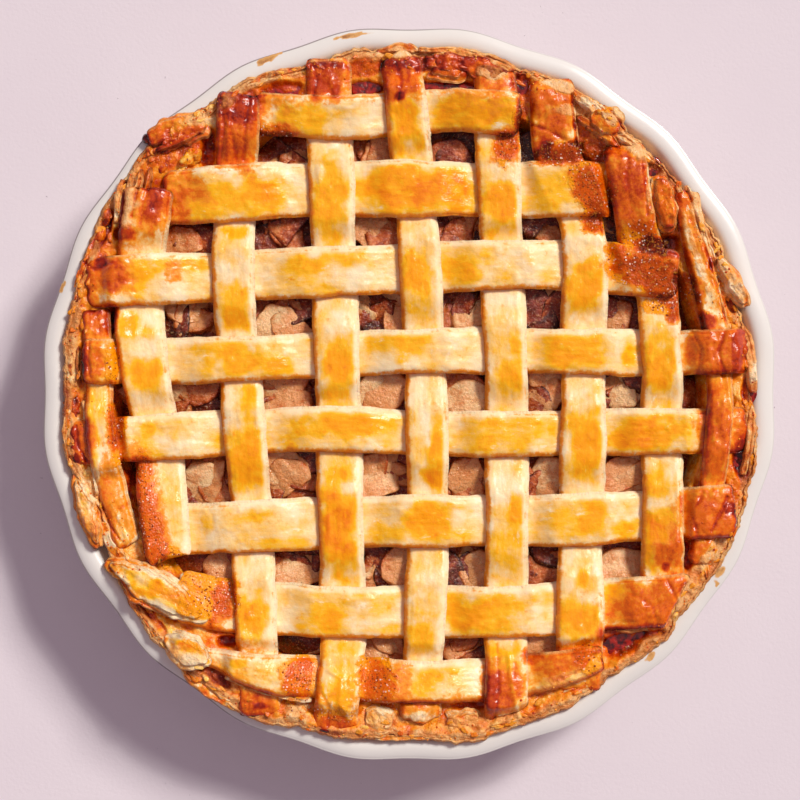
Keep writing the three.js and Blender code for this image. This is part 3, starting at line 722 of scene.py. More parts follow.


# Creases (depth above 0) and ridges (below 0): pixel points, half width, depth, browning and bareness.
# Browning in creases is partly painted shade, and below 0 it is a painted highlight on ridges.
LINES = [
    ([(126, 184), (125, 204), (121, 228)], 0.55, 1.9, 0.5, 0.3),
    ([(142, 181), (138, 200), (134, 218)], 0.5, 1.6, 0.5, 0.3),
    ([(153, 182), (147, 200), (143, 224)], 0.5, 1.0, 0.3, 0),
    ([(134, 184), (131, 204), (128, 226)], 0.8, -0.5, 0, 0.7),
    ([(119, 186), (118, 204), (114, 224)], 0.8, -0.4, 0, 0.8),
    ([(222, 98), (226, 128), (221, 165)], 0.6, 0.8, 0.2, 0),
    ([(237, 104), (233, 134), (239, 168)], 0.5, 0.6, 0.15, 0),
    ([(252, 100), (247, 130), (244, 160)], 0.6, 0.6, 0.2, 0),
    ([(229, 100), (231, 130), (228, 160)], 0.9, -0.5, 0.1, 0),
    ([(571, 96), (573, 120), (576, 146)], 0.5, 1.6, 0.5, 0),
    ([(602, 105), (612, 116), (623, 130)], 0.35, 1.0, 0.6, 0),
    ([(640, 160), (643, 190), (645, 216)], 0.45, 0.8, 0.35, 0),
    ([(647, 162), (649, 190), (650, 214)], 0.8, -0.5, -0.2, 0.8),
    ([(626, 150), (624, 180), (630, 214)], 0.6, 0.5, 0.15, 0),
    ([(668, 180), (672, 205), (680, 232)], 0.45, 0.8, 0.3, 0),
    ([(684, 184), (700, 238), (716, 290), (724, 322)], 0.45, 1.3, 0.45, 0),
    ([(690, 330), (699, 350), (696, 374)], 0.6, 0.6, 0.15, 0),
    ([(722, 332), (715, 352), (722, 376)], 0.6, 0.7, 0.3, 0),
    ([(708, 330), (706, 350), (710, 372)], 0.9, -0.4, 0, 0),
    ([(700, 492), (689, 512), (694, 532)], 0.6, 0.7, 0.15, 0),
    ([(724, 496), (716, 514), (708, 530)], 0.5, 0.9, 0.4, 0),
    ([(712, 488), (704, 508), (702, 528)], 0.9, -0.5, 0, 0),
    ([(664, 578), (675, 600), (667, 624)], 0.6, 0.8, 0.2, 0.3),
    ([(630, 592), (650, 604), (655, 624)], 0.7, 0.4, 0.1, 0),
    ([(508, 652), (511, 682), (518, 714)], 0.9, -0.7, -0.3, 0),
    ([(497, 644), (498, 690), (494, 716)], 0.6, 0.5, 0.25, 0),
    ([(330, 668), (342, 676), (340, 700), (350, 716)], 0.9, -0.8, -0.4, 0),
    ([(322, 690), (330, 706), (328, 724)], 0.6, 0.6, 0.2, 0),
    ([(400, 700), (420, 704), (438, 700)], 0.6, 0.6, 0.2, 0),
    ([(92, 342), (91, 360), (93, 378)], 0.6, 0.7, 0.3, 0),
    ([(78, 426), (80, 446), (88, 460)], 0.6, 0.8, 0.4, 0),
    ([(100, 498), (110, 522), (122, 540)], 0.5, 1.0, 0.3, 0.3),
    ([(112, 500), (122, 520), (130, 540)], 0.8, -0.5, -0.1, 0.2),
    ([(118, 574), (150, 590), (186, 612)], 0.9, -0.6, -0.3, 0.2),
    ([(112, 568), (140, 598), (176, 620)], 0.5, 0.8, 0.4, 0.3),
    ([(150, 586), (162, 592), (180, 594)], 0.5, 0.4, 0.1, 0),
    ([(395, 62), (402, 84), (398, 104)], 0.6, 0.7, 0.3, 0),
    ([(416, 70), (422, 110), (430, 150)], 0.45, 0.3, 0.15, 0.2),
    ([(314, 66), (318, 84), (314, 98)], 0.6, 0.7, 0.2, 0),
    ([(334, 64), (331, 84), (337, 98)], 0.7, -0.5, 0, 0),
    ([(532, 126), (548, 132), (572, 146)], 0.5, 0.8, 0.35, 0),
    ([(546, 92), (560, 112), (566, 138)], 1.2, -0.4, 0, 0.2),
    ([(84, 262), (96, 270), (120, 262)], 0.7, 0.6, 0.3, 0),
    ([(560, 676), (578, 668), (594, 650)], 0.6, 0.6, 0.2, 0.3),
    ([(704, 390), (708, 430), (704, 480)], 0.7, 0.4, 0.1, 0),
    ([(726, 390), (730, 430), (724, 478)], 0.7, -0.4, -0.1, 0.4),
]


def distance_to(x, y, points):
    """Distance in millimetres from each place to a line through pixel points."""
    best = np.full(np.shape(x), np.inf)
    corners = [to_mm(*p) for p in points]
    for (ax, ay), (bx, by) in zip(corners, corners[1:]):
        dx, dy = bx - ax, by - ay
        t = np.clip(((x - ax) * dx + (y - ay) * dy) / (dx * dx + dy * dy), 0, 1)
        best = np.minimum(best, np.hypot(x - ax - t * dx, y - ay - t * dy))
    return best


def line_marks(x, y):
    """How much the creases and ridges lower, brown and bare the dough at a place; the browning is partly
    painted shade in creases and a painted highlight on ridges.
    """
    depth, brown, bare = np.zeros((3, *np.shape(x)))
    wobble = 0.35 * noise(x, y, 0, 3, 50, 2)
    for points, width, deep, browning_shade_and_highlight, bareness in LINES:
        share = np.exp(-(((distance_to(x, y, points) + wobble) / width) ** 2))
        depth += deep * share
        brown += browning_shade_and_highlight * share
        bare = np.maximum(bare, bareness * share)
    return depth, brown, bare


# Slabs of dough

STATION = 0.75
END_CROWDING = 0.4
TOP_POINTS = 32
SIDE_HEIGHTS = (0.0, 0.16, 0.36)
BOTTOM_POINTS = 5
CORNER = 2.1
SHOULDER = 0.45  # the most of a half width that a rounded side takes
CROWN = 0.14
SEAM_DEPTH = 0.3
SEAM_WIDTH = 0.26
SIDE_BULGE = 0.25
SIDE_WANDER = 0.4
END_TURN = 3.2  # how near its ends a slab's sides begin to turn in
RAGGED_END = 1.3
LEAST = 0.3  # no half width or height is less
RIM_ZONE = (104, 122)  # between these radii the dough turns rougher
CEILING = cad_box[1][2] / MM - 0.06
KNEE = 1.2
# Each slab's number gives it its own patterns. These are the first of each kind.
UPRIGHT_NUMBERS = 20
CROSS_NUMBERS = 40
FOLD_NUMBERS = 70
RIBBON_NUMBERS = 100
# How far the low side of a strip is cut back at its start and its end, by slab number.
END_SLANTS = {46: (0, 11), 25: (5.5, 0), 22: (0, 2), 28: (0, 3), 24: (2, 0)}
SLANT_LENGTH = 22


def section_of():
    """One slab's outline: shares across (-1 to 1) and heights of its sides, or nan on top."""
    side = 1 - 2 * np.arange(1, BOTTOM_POINTS) / BOTTOM_POINTS
    k = np.linspace(-1, 1, TOP_POINTS)
    top = -(0.62 * k + 0.38 * np.sin(k * math.pi / 2))
    heights = np.array(SIDE_HEIGHTS)
    across = np.concatenate([-side, np.ones(3), top, -np.ones(3)])
    height = np.concatenate([np.zeros(len(side)), heights, np.full(TOP_POINTS, np.nan), heights[::-1]])
    return across, height


SECTION = section_of()
# Painted shade: the sides that face away from the far right corner, where the light comes from, are painted
# browner. The other sides show the seam of the folded dough and keep a pale shoulder, partly unwashed dough
# and partly a painted highlight.
SHADED_SIDE = {UPRIGHT_NUMBERS + k: 1 for k in range(len(UPRIGHTS))}
SHADED_SIDE.update({CROSS_NUMBERS + k: -1 for k in range(len(CROSSES))})
SEAM_SIDE = {number: -side for number, side in SHADED_SIDE.items()}


def under_ceiling(height):
    """Heights eased to stay below the part's highest point."""
    knee = CEILING - KNEE
    return np.where(height > knee, CEILING - KNEE * np.exp(-np.maximum(height - knee, 0) / KNEE), height)


def slab_plan(place, middle, across, half, number, relief):
    """A slab from above: x, y, offset from its middle line, half width, and way in from sides and ends."""
    share = SECTION[0][None, :]
    station = place[:, None]
    half = half[:, None]
    along = directions(middle)
    start = np.abs(station - place[0])
    end = np.abs(station - place[-1])
    nearest = np.minimum(start, end)
    side = np.sign(share) * 40
    wander = noise(station, side, 7 * number, 9, 5, 2)
    wander = wander + 0.4 * noise(station, side, 7 * number, 2.6, 15, 2)
    width = half + SIDE_WANDER * relief * wander
    width = width - np.minimum(2.0, 0.3 * half) * (1 - quarter(nearest / END_TURN))
    width = np.maximum(width, LEAST)
    offset = share * width
    shift = noise(offset, np.where(start < end, 0, 90), 7 * number, 6, 8, 3) * RAGGED_END
    shift = shift * ease(nearest, 8, 0)
    slants = END_SLANTS.get(number, (0, 0))
    cut_back = np.where(start < end, slants[0], slants[1]) * np.clip(1 - nearest / SLANT_LENGTH, 0, 1)
    shift = (shift + cut_back * (1 - share) / 2) * np.where(start < end, 1, -1)
    x = middle[:, :1] + across[:, :1] * offset + along[:, :1] * shift
    y = middle[:, 1:] + across[:, 1:] * offset + along[:, 1:] * shift
    return x, y, offset, width, np.clip(width - np.abs(offset), 0, None), nearest


def slab_lumps(x, y, station, offset, rim, crumb, number):
    """Lumps, brush lines and blisters of a slab's top, with wrinkles near the rim and grains where bare."""
    lump = 0.34 * noise(x, y, 3 * number, 10, 3, 2) + 0.13 * noise(x, y, 3 * number, 2.8, 4, 3)
    lump += 0.09 * noise(station / 7, offset, 5 * number, 1.1, 6, 2)
    lump += 0.3 * ease(noise(x, y, 9 * number, 3.4, 7, 2), 0.5, 1.0)
    wrinkle = 1 - 2 * np.abs(noise(station / 2.5, offset, 13 * number, 3.6, 11, 2))
    lump += rim * (0.16 * wrinkle + 0.38 * noise(x, y, 5 * number, 3.6, 12, 3))
    return lump + 0.35 * crumb * noise(x, y, 5 * number, 1.6, 56, 2)


def slab_seam(station, offset, from_edge, number):
    """Where the seam of the folded dough shows, from 0 to 1."""
    seam_at = 1.25 + 0.35 * noise(station, 0, 5 * number, 14, 9)
    lit = offset * SEAM_SIDE.get(number, 1) > 0
    seam = np.exp(-(((from_edge - seam_at) / SEAM_WIDTH) ** 2)) * lit
    return seam * ease(noise(station, 0, 11 * number, 22, 10), -0.25, 0.1)


def slab_values(values, offset, from_edge, nearest, seam, number):
    """A slab's values with its cut faces bare and its ends browner, painted shade browning its shaded side,
    and its lit side's wash faded early, partly as a painted highlight.
    """
    top = np.isnan(SECTION[1])
    shaded = offset * SHADED_SIDE.get(number, 0) > 0
    face = np.where(top, ease(from_edge, 1.3, 0.2) * 0.75, 1.0)
    face = np.maximum(face, ease(nearest, 0.9, 0.2) * 0.8)
    # Painted highlight: the wash stops short of the lit side's edge but runs to the shaded side's edge.
    wash = values["wash"] * np.where(shaded, ease(from_edge, -0.6, 1.0), ease(from_edge, 0.8, 3.0))
    bake = values["bake"] + 0.16 * seam + 0.3 * ease(nearest, 2.5, 0) * (values["bake"] > 0.4)
    # Painted shade: the shaded side is painted browner, and its faces less pale.
    bake = bake + 0.4 * np.maximum(face, ease(from_edge, 2.4, 0.4)) * shaded
    cut = np.maximum(face * (1 - 0.6 * shaded), values.get("cut", 0.0))
    return {**values, "wash": wash, "bake": bake, "cut": cut}


def slab(shape, place, middle, across, half, thickness, base, paint, number, tilt=0.0, relief=1.0,
         corner=CORNER):
    """Adds a strip of dough along stations: middles, unit vectors across, half widths and a base height."""
    x, y, offset, width, from_edge, nearest = slab_plan(place, middle, across, half, number, relief)
    share, side_height = SECTION
    top = np.isnan(side_height)
    sides = np.nan_to_num(side_height)
    station = place[:, None]
    rim = ease(np.hypot(x, y), *RIM_ZONE)
    crumb = crumbled(x, y)
    seam = slab_seam(station, offset, from_edge, number)
    marks, brown, bare = line_marks(x, y)
    round_off = 0.4 + 0.6 * quarter(from_edge / np.minimum(corner, SHOULDER * width))
    crown = 1 - CROWN * ease(from_edge, SHOULDER * width, 0)
    height = np.where(top, round_off * crown, sides[None, :] + 0 * offset)
    height = height * thickness * (0.7 + 0.3 * quarter(nearest / corner))
    lump = slab_lumps(x, y, station, offset, rim, crumb, number)
    surface = height + lump * relief * round_off - SEAM_DEPTH * seam - marks
    surface = np.maximum(surface, 0.4 * height) - 0.8 * rim * ease(nearest, 5, 0)
    height = np.where(top, np.maximum(surface, LEAST), np.minimum(height, surface.max(1, keepdims=True)))
    z = base(x, y) + height + tilt * offset
    bulge = np.where(top, 0, SIDE_BULGE * np.sin(math.pi * sides / 0.5))
    x = x + across[:, :1] * np.sign(share) * bulge
    y = y + across[:, 1:] * np.sign(share) * bulge
    lay = np.stack([station + 0 * x, offset, np.full(x.shape, 50.0 * number) + 0.3 * z], -1)
    values = slab_values(paint(x, y), offset, from_edge, nearest, seam, number)
    # Creases are painted browner, partly as painted shade, and ridges paler as painted highlights.
    values["bake"] = values["bake"] + brown
    values["cut"] = np.maximum(np.maximum(values["cut"], bare), crumb)
    shape.tube(np.stack([x, y, under_ceiling(z)], -1), values, lay=lay)


def along_line(points, step):
    """Stations on a smooth line through pixel points: places, middles and unit vectors across."""
    points = np.array([to_mm(*p) for p in points])
    reach = np.concatenate([[0], np.cumsum(np.hypot(*np.diff(points, axis=0).T))])
    place = np.linspace(0, reach[-1], max(int(reach[-1] / step), 8))
    middle = np.stack([smooth_line(list(zip(reach, points[:, k])))(place) for k in (0, 1)], -1)
    along = directions(middle)
    return place, middle, np.stack([-along[:, 1], along[:, 0]], -1)


class Strip:
    """One lattice strip: its middle line, ends and width."""

    def __init__(self, kind, number, width, line):
        self.kind = kind
        self.number = number
        self.width = width
        self.line = smooth_line(line)
        self.start = line[0][0]
        self.end = line[-1][0]
        self.tips = TIPS.get((kind, number), (width, width))

    def slope(self, place):
        return self.line(np.asarray(place) + 0.5) - self.line(np.asarray(place) - 0.5)

    def width_at(self, place):
        first = self.tips[0] + (self.width - self.tips[0]) * np.minimum(1, (place - self.start) / TIP_LENGTH)
        last = self.tips[1] + (self.width - self.tips[1]) * np.minimum(1, (self.end - place) / TIP_LENGTH)
        return np.minimum(first, last) * (1 + 0.03 * np.sin(place / 9 + self.width))

    def meets(self, other):
        """Whether this strip and the other reach each other."""
        place = 0.0
        for _ in range(12):
            place = float(other.line(self.line(place)))
        there = float(self.line(place))
        own = other.width / 2 - 0.5
        its = self.width / 2 - 0.5
        reaches = self.start - own < place < self.end + own
        return reaches and other.start - its < there < other.end + its


def is_over(strip, other):
    upright_over = (strip.number + other.number) % 2 == 0
    return upright_over if strip.kind == "upright" else not upright_over


def level_of(strip, crossings, place, aside):
    """0 on the bed and 1 on another strip, at points given along and across the pie's axes."""
    knots = []
    for other, over in crossings:
        middle = other.line(aside)
        reach = other.width_at(aside) / 2 * np.hypot(1, other.slope(aside)) + ZONE_MARGIN
        knots.append((middle - reach, over))
        knots.append((middle + reach, over))
    first = (knots[0][0] - END_SLOPE, 0) if knots[0][0].min() - strip.start > FLAT_END else None
    last = (knots[-1][0] + END_SLOPE, 0) if strip.end - knots[-1][0].max() > FLAT_END else None
    knots = ([first] if first else []) + knots + ([last] if last else [])
    level = np.full(place.shape, float(knots[0][1]))
    for (low, before), (high, after) in zip(knots, knots[1:]):
        level += (after - before) * ease(place, low, np.maximum(high, low + 0.5))
    return level


def baked_strip(strip, others, material):
    upright = strip.kind == "upright"
    crossings = [(other, is_over(strip, other)) for other in others if strip.meets(other)]
    count = int((strip.end - strip.start) / STATION)
    share = np.linspace(0, 1, count)
    share = share - END_CROWDING * np.sin(2 * math.pi * share) / (2 * math.pi)
    place = strip.start + (strip.end - strip.start) * share
    line = strip.line(place)
    slope = strip.slope(place)
    unit = 1 / np.hypot(1, slope)
    middle = np.stack([line, place] if upright else [place, line], -1)
    across = np.stack([-unit, slope * unit] if upright else [-slope * unit, unit], -1)
    name = f"{strip.kind}_strip_{strip.number}"
    spots = [(px, py, right, up, 0, strength) for px, py, right, up, strength in WASHED[name]]

    def base(x, y):
        level = level_of(strip, crossings, *((y, x) if upright else (x, y)))
        return bed_at(x, y) + level * STRIP

    def paint(x, y):
        wash = strongest(x, y, spots, 0.42 * noise(x, y, 0, 6, 34, 3) - 0.16, 0.75)
        wash = np.maximum(wash, 0.26 + 0.3 * noise(x, y, 0, 9, 51, 2))
        return {"wash": wash, "bake": baked(x, y), "syrup": glazed(x, y)}

    shape = Shape()
    number = strip.number + (UPRIGHT_NUMBERS if upright else CROSS_NUMBERS)
    slab(shape, place, middle, across, strip.width_at(place) / 2, STRIP, base, paint, number)
    piece = shape.build(f"{name}_baked", material)
    dress(piece, "lattice_pastry", name)
    return piece


def lattice(material):
    """All strips: the upright ones, the cross ones and their pieces."""
    uprights = [Strip("upright", k, *row) for k, row in enumerate(UPRIGHTS)]
    crosses = [Strip("cross", k, *row) for k, row in enumerate(CROSSES)]
    pieces = [baked_strip(strip, crosses[::-1], material) for strip in uprights]
    pieces += [baked_strip(strip, uprights, material) for strip in crosses]
    return uprights, crosses, pieces


FINE_STATION = 0.45
POINTED = {0: 0.9, 1: 0.7, 2: 0.3, 3: 0.12, 4: 0.2, 5: 0.7, 10: 0.8}  # how pointed a fold's ends are
BLUNT = 0.12
FLAT_FOLDS = (6, 7, 8, 9)  # ledges that were pressed flat
FLATNESS = 0.6


def edge_fold(k, material):
    """A folded end, as two leaves of dough: a wider lower one and a crumpled upper one."""
    start, end, width, thickness, levels = FOLDS[k]
    start, end = np.array(start, float), np.array(end, float)
    length = np.linalg.norm(end - start)
    share = np.linspace(0, 1, int(length / FINE_STATION))
    place = share * length
    along = (end - start) / length
    across = np.array([[-along[1], along[0]]])
    bow = 0.8 * noise(place, k * 9, 0, 9, 6, 2)
    thick = (FLATNESS * thickness if k in FLAT_FOLDS else thickness) + CLEARANCE
    profile = np.clip(np.sin(math.pi * share), 0, 1) ** POINTED.get(k, BLUNT)
    half = width / 2 * (0.25 + 0.75 * profile) * (1 + 0.14 * noise(place, 0, 9 * k, 4, 49, 2))

    def base(x, y):
        share = ((x - start[0]) * along[0] + (y - start[1]) * along[1]) / length
        level = levels[0] + (levels[1] - levels[0]) * ease(share, 0.1, 0.4)
        return bed_at(x, y) + level * STRIP

    def raised(x, y):
        return base(x, y) + thick * 0.42

    def paint(x, y):
        wash = 0.75 + 0.5 * noise(x, y, 0, 5, 35, 2)
        return {"wash": wash, "bake": 0.95 * baked(x, y), "syrup": glazed(x, y)}

    shape = Shape()
    number = FOLD_NUMBERS + 2 * k
    middle = start + (end - start) * share[:, None] + across * bow[:, None]
    slab(shape, place, middle, across, half + 0.6, thick * 0.55, base, paint, number, relief=1.2, corner=0.8)
    inner = place * 0.94 + 0.03 * length
    middle = start + along * inner[:, None] + across * (bow * 0.6 + 0.4)[:, None]
    slab(
        shape, inner, middle, across, half * 0.84, thick * 0.58, raised, paint, number + 1,
        tilt=0.05, relief=1.5, corner=0.9,
    )
    name = f"edge_fold_{k}"
    piece = shape.build(f"{name}_baked", material)
    dress(piece, "folded_pastry", name)
    return piece


# Loose-edged ribbons of dough on the rim: pixel points, width, thickness, lift, tilt, bake and cut face.
RIBBONS = [
    ([(103, 520), (112, 545), (133, 562)], 4.6, 3.2, 0.2, 0.2, 0.3, 0.3),
    ([(85, 402), (90, 450), (99, 498)], 2.0, 2.2, 1.6, 0, 0.1, 0.9),
    ([(73, 348), (71, 368), (76, 388)], 1.8, 2.4, 1.0, 0.3, 0.55, 0.6),
    ([(80, 346), (79, 367), (82, 386)], 1.7, 2.6, 1.4, 0.3, 0.6, 0.6),
    ([(125, 176), (121, 198), (116, 226)], 3.6, 3.6, 1.4, 0.3, 0.3, 0.9),
    ([(134, 172), (130, 196), (125, 226)], 2.6, 4.6, 1.4, 0.2, 0.35, 0.8),
    ([(143, 170), (139, 192), (133, 222)], 2.4, 4.9, 1.5, 0.2, 0.4, 0.8),
    ([(152, 169), (149, 190), (143, 216)], 2.4, 5.1, 1.6, 0.1, 0.7, 0.4),
    ([(183, 645), (203, 657), (226, 668)], 3.0, 2.4, 0.4, 0.1, 0.6, 1.0),
    ([(186, 640), (206, 650), (224, 660)], 2.4, 2.8, 1.2, 0.1, 0.25, 0.8),
    ([(116, 566), (136, 606), (163, 642), (198, 688)], 1.9, 2.2, 0.5, 0, 0.5, 0.7),
    ([(121, 572), (140, 610), (168, 645)], 1.6, 2.4, 1.0, 0, 0.6, 0.6),
    ([(676, 184), (690, 225), (706, 272), (724, 322)], 3.6, 3.0, 0.9, 0.2, 0.15, 0.9),
    ([(686, 188), (699, 224), (716, 270)], 2.4, 2.6, 0.6, 0.2, 0.2, 0.9),
    ([(528, 690), (560, 681), (588, 667)], 3.2, 2.8, 0.5, 0, 0.35, 1.0),
    ([(226, 676), (266, 691), (313, 700)], 2.4, 3.0, 2.4, 0, 0.35, 1.0),
    ([(614, 629), (640, 628), (666, 621)], 3.0, 2.6, 0.6, 0, 0.45, 1.0),
    ([(420, 80), (425, 108), (430, 136)], 1.8, 3.6, 2.4, 0, 0.0, 0.9),
    ([(144, 143), (166, 138), (192, 124)], 3.4, 3.2, 1.2, 0.3, 0.95, 0.2),
    ([(158, 152), (178, 143), (204, 133)], 3.0, 3.4, 2.6, -0.3, 0.8, 0.2),
    ([(380, 52), (400, 49), (420, 52)], 3.0, 2.4, 0.4, 0, 0.45, 0.6),
    ([(476, 62), (495, 67), (515, 71)], 3.0, 2.8, 0.4, 0, 0.4, 0.8),
    ([(690, 540), (702, 560), (706, 575)], 3.0, 2.0, 0.4, 0, 0.45, 0.5),
    ([(740, 322), (748, 350), (752, 392)], 4.6, 2.6, 0.8, 0.2, 0.3, 1.0),
    ([(751, 402), (749, 436), (742, 476)], 3.4, 2.4, 0.7, 0.2, 0.35, 0.9),
    ([(560, 694), (580, 686), (599, 668)], 4.2, 3.0, 0.4, 0, 0.4, 0.4),
    ([(356, 734), (400, 737), (440, 735)], 2.6, 2.2, 0.2, 0, 0.4, 0.6),
    ([(181, 662), (205, 688), (240, 708)], 4.5, 2.4, 0.3, 0.1, 0.42, 0.5),
    ([(96, 238), (84, 270), (77, 300)], 2.6, 2.6, 0.8, 0.2, 0.7, 0.4),
    ([(244, 88), (268, 77), (300, 69)], 2.6, 2.2, 0.3, 0, 0.5, 0.7),
    ([(196, 126), (208, 116), (222, 104)], 3.4, 2.4, 0.3, 0.1, 0.45, 0.7),
    ([(572, 92), (596, 106), (620, 124)], 2.4, 2.6, 0.4, 0, 0.35, 0.9),
    ([(612, 134), (634, 146), (652, 162)], 3.4, 3.0, 0.8, 0.2, 0.2, 0.9),
    ([(72, 398), (66, 430), (70, 462)], 2.2, 2.2, 0.4, 0.1, 0.5, 0.8),
    ([(92, 470), (102, 502), (114, 534)], 3.2, 2.4, 0.5, 0.1, 0.3, 0.7),
    ([(574, 100), (598, 112), (624, 134)], 5.0, 3.2, 2.4, 0.2, 0.1, 0.9),
    ([(576, 118), (596, 130), (620, 148)], 4.4, 3.0, 1.4, 0.2, 0.62, 0.1),
    ([(424, 63), (462, 65), (512, 79)], 8.0, 2.6, 1.8, 0.1, 0.9, 0.1),
    ([(420, 51), (462, 55), (510, 69)], 3.0, 2.6, 1.2, 0.1, 0.45, 0.8),
]


def ribbons(material):
    shape = Shape()
    for k, (points, width, thickness, lift, tilt, bake, cut) in enumerate(RIBBONS):
        place, middle, across = along_line(points, FINE_STATION)
        half = width / 2 * (0.5 + 0.5 * np.sqrt(np.clip(np.sin(math.pi * place / place[-1]), 0, 1)))
        half = half * (1 + 0.18 * noise(place, 7 * k, 0, 4, 36, 2))

        def base(x, y):
            return bed_at(x, y) - 0.6 + 0.8 * lift + 0.5 * noise(x, y, 4 * k, 9, 37)

        def paint(x, y):
            wash = 0.4 + 0.5 * noise(x, y, 0, 5, 38, 2)
            brown = np.maximum(bake, 0.6 * baked(x, y)) + 0.25 * noise(x, y, 0, 3, 39, 2)
            return {"wash": wash, "bake": brown, "syrup": 0.7 * glazed(x, y), "cut": cut * 0.7}

        number = RIBBON_NUMBERS + k
        slab(
            shape, place, middle, across, half, thickness, base, paint, number,
            tilt=tilt, relief=1.7, corner=0.7,
        )
    piece = shape.build("rim_ribbons", material)
    dress(piece, "folded_pastry")
    return piece


# Lumps of dough and dried juice on the rim: pixel place, half sizes, height, turn, bake, syrup and cut.
KNOBS = [
    (147, 139, 6, 5, 3.4, 20, 1.35, 0, 0), (166, 147, 10, 8, 4.4, 25, 0.98, 0.5, 0),
    (178, 140, 13, 5, 4.6, 28, 0.86, 0, 0), (192, 157, 12, 9, 4.4, 35, 0.45, 0.45, 0),
    (203, 120, 13, 5, 3.0, 32, 0.4, 0, 0.4), (160, 165, 15, 8, 2.8, 35, 0.9, 0.3, 0.1),
    (181, 168, 9, 6, 2.6, 60, 0.3, 0, 0.2), (154, 152, 7, 8, 3.4, 60, 0.7, 0, 0.3),
    (188, 130, 12, 5, 3.4, 25, 0.6, 0.3, 0.2), (108, 216, 5, 9, 2.2, -15, 0.95, 0.5, 0),
    (100, 236, 5, 10, 2.0, -20, 0.85, 0.4, 0), (88, 284, 6, 10, 2.2, -20, 0.95, 0.4, 0),
    (579, 681, 17, 8, 3.0, 35, 0.35, 0, 0.6), (737, 352, 5, 16, 2.6, 0, 0.85, 0.6, 0),
    (76, 408, 5, 14, 2.2, 0, 0.9, 0.5, 0), (88, 474, 6, 12, 2.4, -15, 0.1, 0, 0.5),
    (738, 424, 5, 22, 2.0, 5, 0.6, 0.5, 0), (704, 560, 8, 14, 2.4, -30, 0.35, 0, 0.7),
    (676, 590, 8, 14, 2.6, -35, 0.25, 0, 0.9),
]
KNOB_ROWS = 22
KNOB_AROUND = 36


def knobs(material):
    """Uneven lumps, each a wrinkled dome set into the crust."""
    shape = Shape()
    rise = np.linspace(-0.5, 1, KNOB_ROWS)[1:-1, None] * math.pi / 2
    out = np.cos(rise) ** 0.6
    v = circle(KNOB_AROUND)
    for k, (px, py, long, wide, high, turn, bake, syrup, cut) in enumerate(KNOBS):
        cx, cy = to_mm(px, py)
        u = out * np.cos(v) * long * MM_PER_PIXEL
        w = out * np.sin(v) * wide * MM_PER_PIXEL
        up = np.sin(rise) * high + 0 * u
        swell = 1 + 0.3 * noise(u, w, up + 20 * k, 3.5, 52, 3)
        ridged = 1 - 2 * np.abs(noise(u, w, up + 20 * k, 2.2, 53, 2))
        x, y = placed(cx, cy, u * swell, w * swell, math.radians(turn))
        up = up * swell + 0.35 * ridged * np.clip(up / high, 0, 1)
        z = under_ceiling(float(bed_at(cx, cy)) - 0.9 + up)
        brown = bake + 0.25 * noise(x, y, z, 3, 54, 2) - 0.25 * ridged * (bake < 1.2)
        shape.tube(np.stack([x, y, z], -1), {"bake": brown, "wash": 0.6, "syrup": syrup, "cut": cut})
    piece = shape.build("rim_knobs", material)
    dress(piece, "folded_pastry")
    return piece


# Dish and case

def turned(shape, profile, steps, shaped, paint):
    """Turns a profile about Z: rows of (radius, height) that shaped may move, closed on the axis."""
    angle = circle(steps)[None, :]
    radius, height = (np.repeat(row[:, None], steps, 1) for row in np.array(profile[1:-1], float).T)
    radius, height = shaped(radius, height, angle)
    rings = np.stack([radius * np.cos(angle), radius * np.sin(angle), height], -1)
    shape.tube(rings, paint(radius, height, angle), [(0, 0, profile[0][1]), (0, 0, profile[-1][1])])


def between(start, end, count):
    """Points from start to end, without the end."""
    share = np.arange(count)[:, None] / count
    return (np.array(start) * (1 - share) + np.array(end) * share).tolist()


# The lip's rolled upper side from the crust outwards, as [radius, height].
LIP_SLOPE = [
    (131.4, 44.6), (132.3, 46.8), (133.3, 48.1), (134.5, 48.8), (136.0, 49.05), (137.5, 48.95),
    (138.8, 48.65), (139.8, 48.25), (140.35, 47.85),
]
slope_height = smooth_line(LIP_SLOPE)
# Baked-on spots of the lip: angle, radius, half length along it and half width.
STAINS = [
    (113, 139.4, 5.5, 1.3), (99, 139.2, 7.5, 0.9), (330, 136.8, 3.2, 2.2), (328.3, 139, 1, 0.8),
    (312.5, 136.7, 2.2, 1.2), (163, 139, 2.5, 1),
]


DISH_STEPS = 720
WALL_POINTS = 14
LIP_SHADE_FROM = math.radians(165)  # the direction, away from the light, in which painted shade darkens the lip's edge most


def dish_profile():
    """The dish's outline from the middle of its underside, over the lip, to the middle of its floor."""
    outer = [wall_point(u, -WALL_THICKNESS) for u in np.linspace(0, 1, WALL_POINTS)]
    slope = [(r, float(slope_height(r))) for r in np.linspace(LIP_SLOPE[-1][0], 131.9, 18)]
    inner = [wall_point(u, 0) for u in np.linspace(0.86, 0, WALL_POINTS)]
    radius = LIP_ROUND["radius"]
    lip = [
        (LIP_REACH - radius + radius * math.cos(turn), LIP_ROUND["height"] + radius * math.sin(turn))
        for turn in np.linspace(-0.5, 0.42, 7) * math.pi / 2
    ]
    return [
        (0, FOOT["recess"]),
        *between((40, FOOT["recess"]), (FOOT["hollow"], FOOT["recess"]), 3),
        (FOOT["hollow"], FOOT["recess"]),
        (FOOT["inner"] - 0.5, 0.5),
        (FOOT["inner"] + 0.6, 0),
        (FOOT["outer"] - 0.8, 0),
        (FOOT["outer"], 0.6),
        *outer,
        *lip,
        *slope,
        *inner,
        (WALL_FOOT[0] - 3, FLOOR_TOP + 1.1),
        (WALL_FOOT[0] - 8, FLOOR_TOP),
        (40, FLOOR_TOP),
        (0, FLOOR_TOP),
    ]


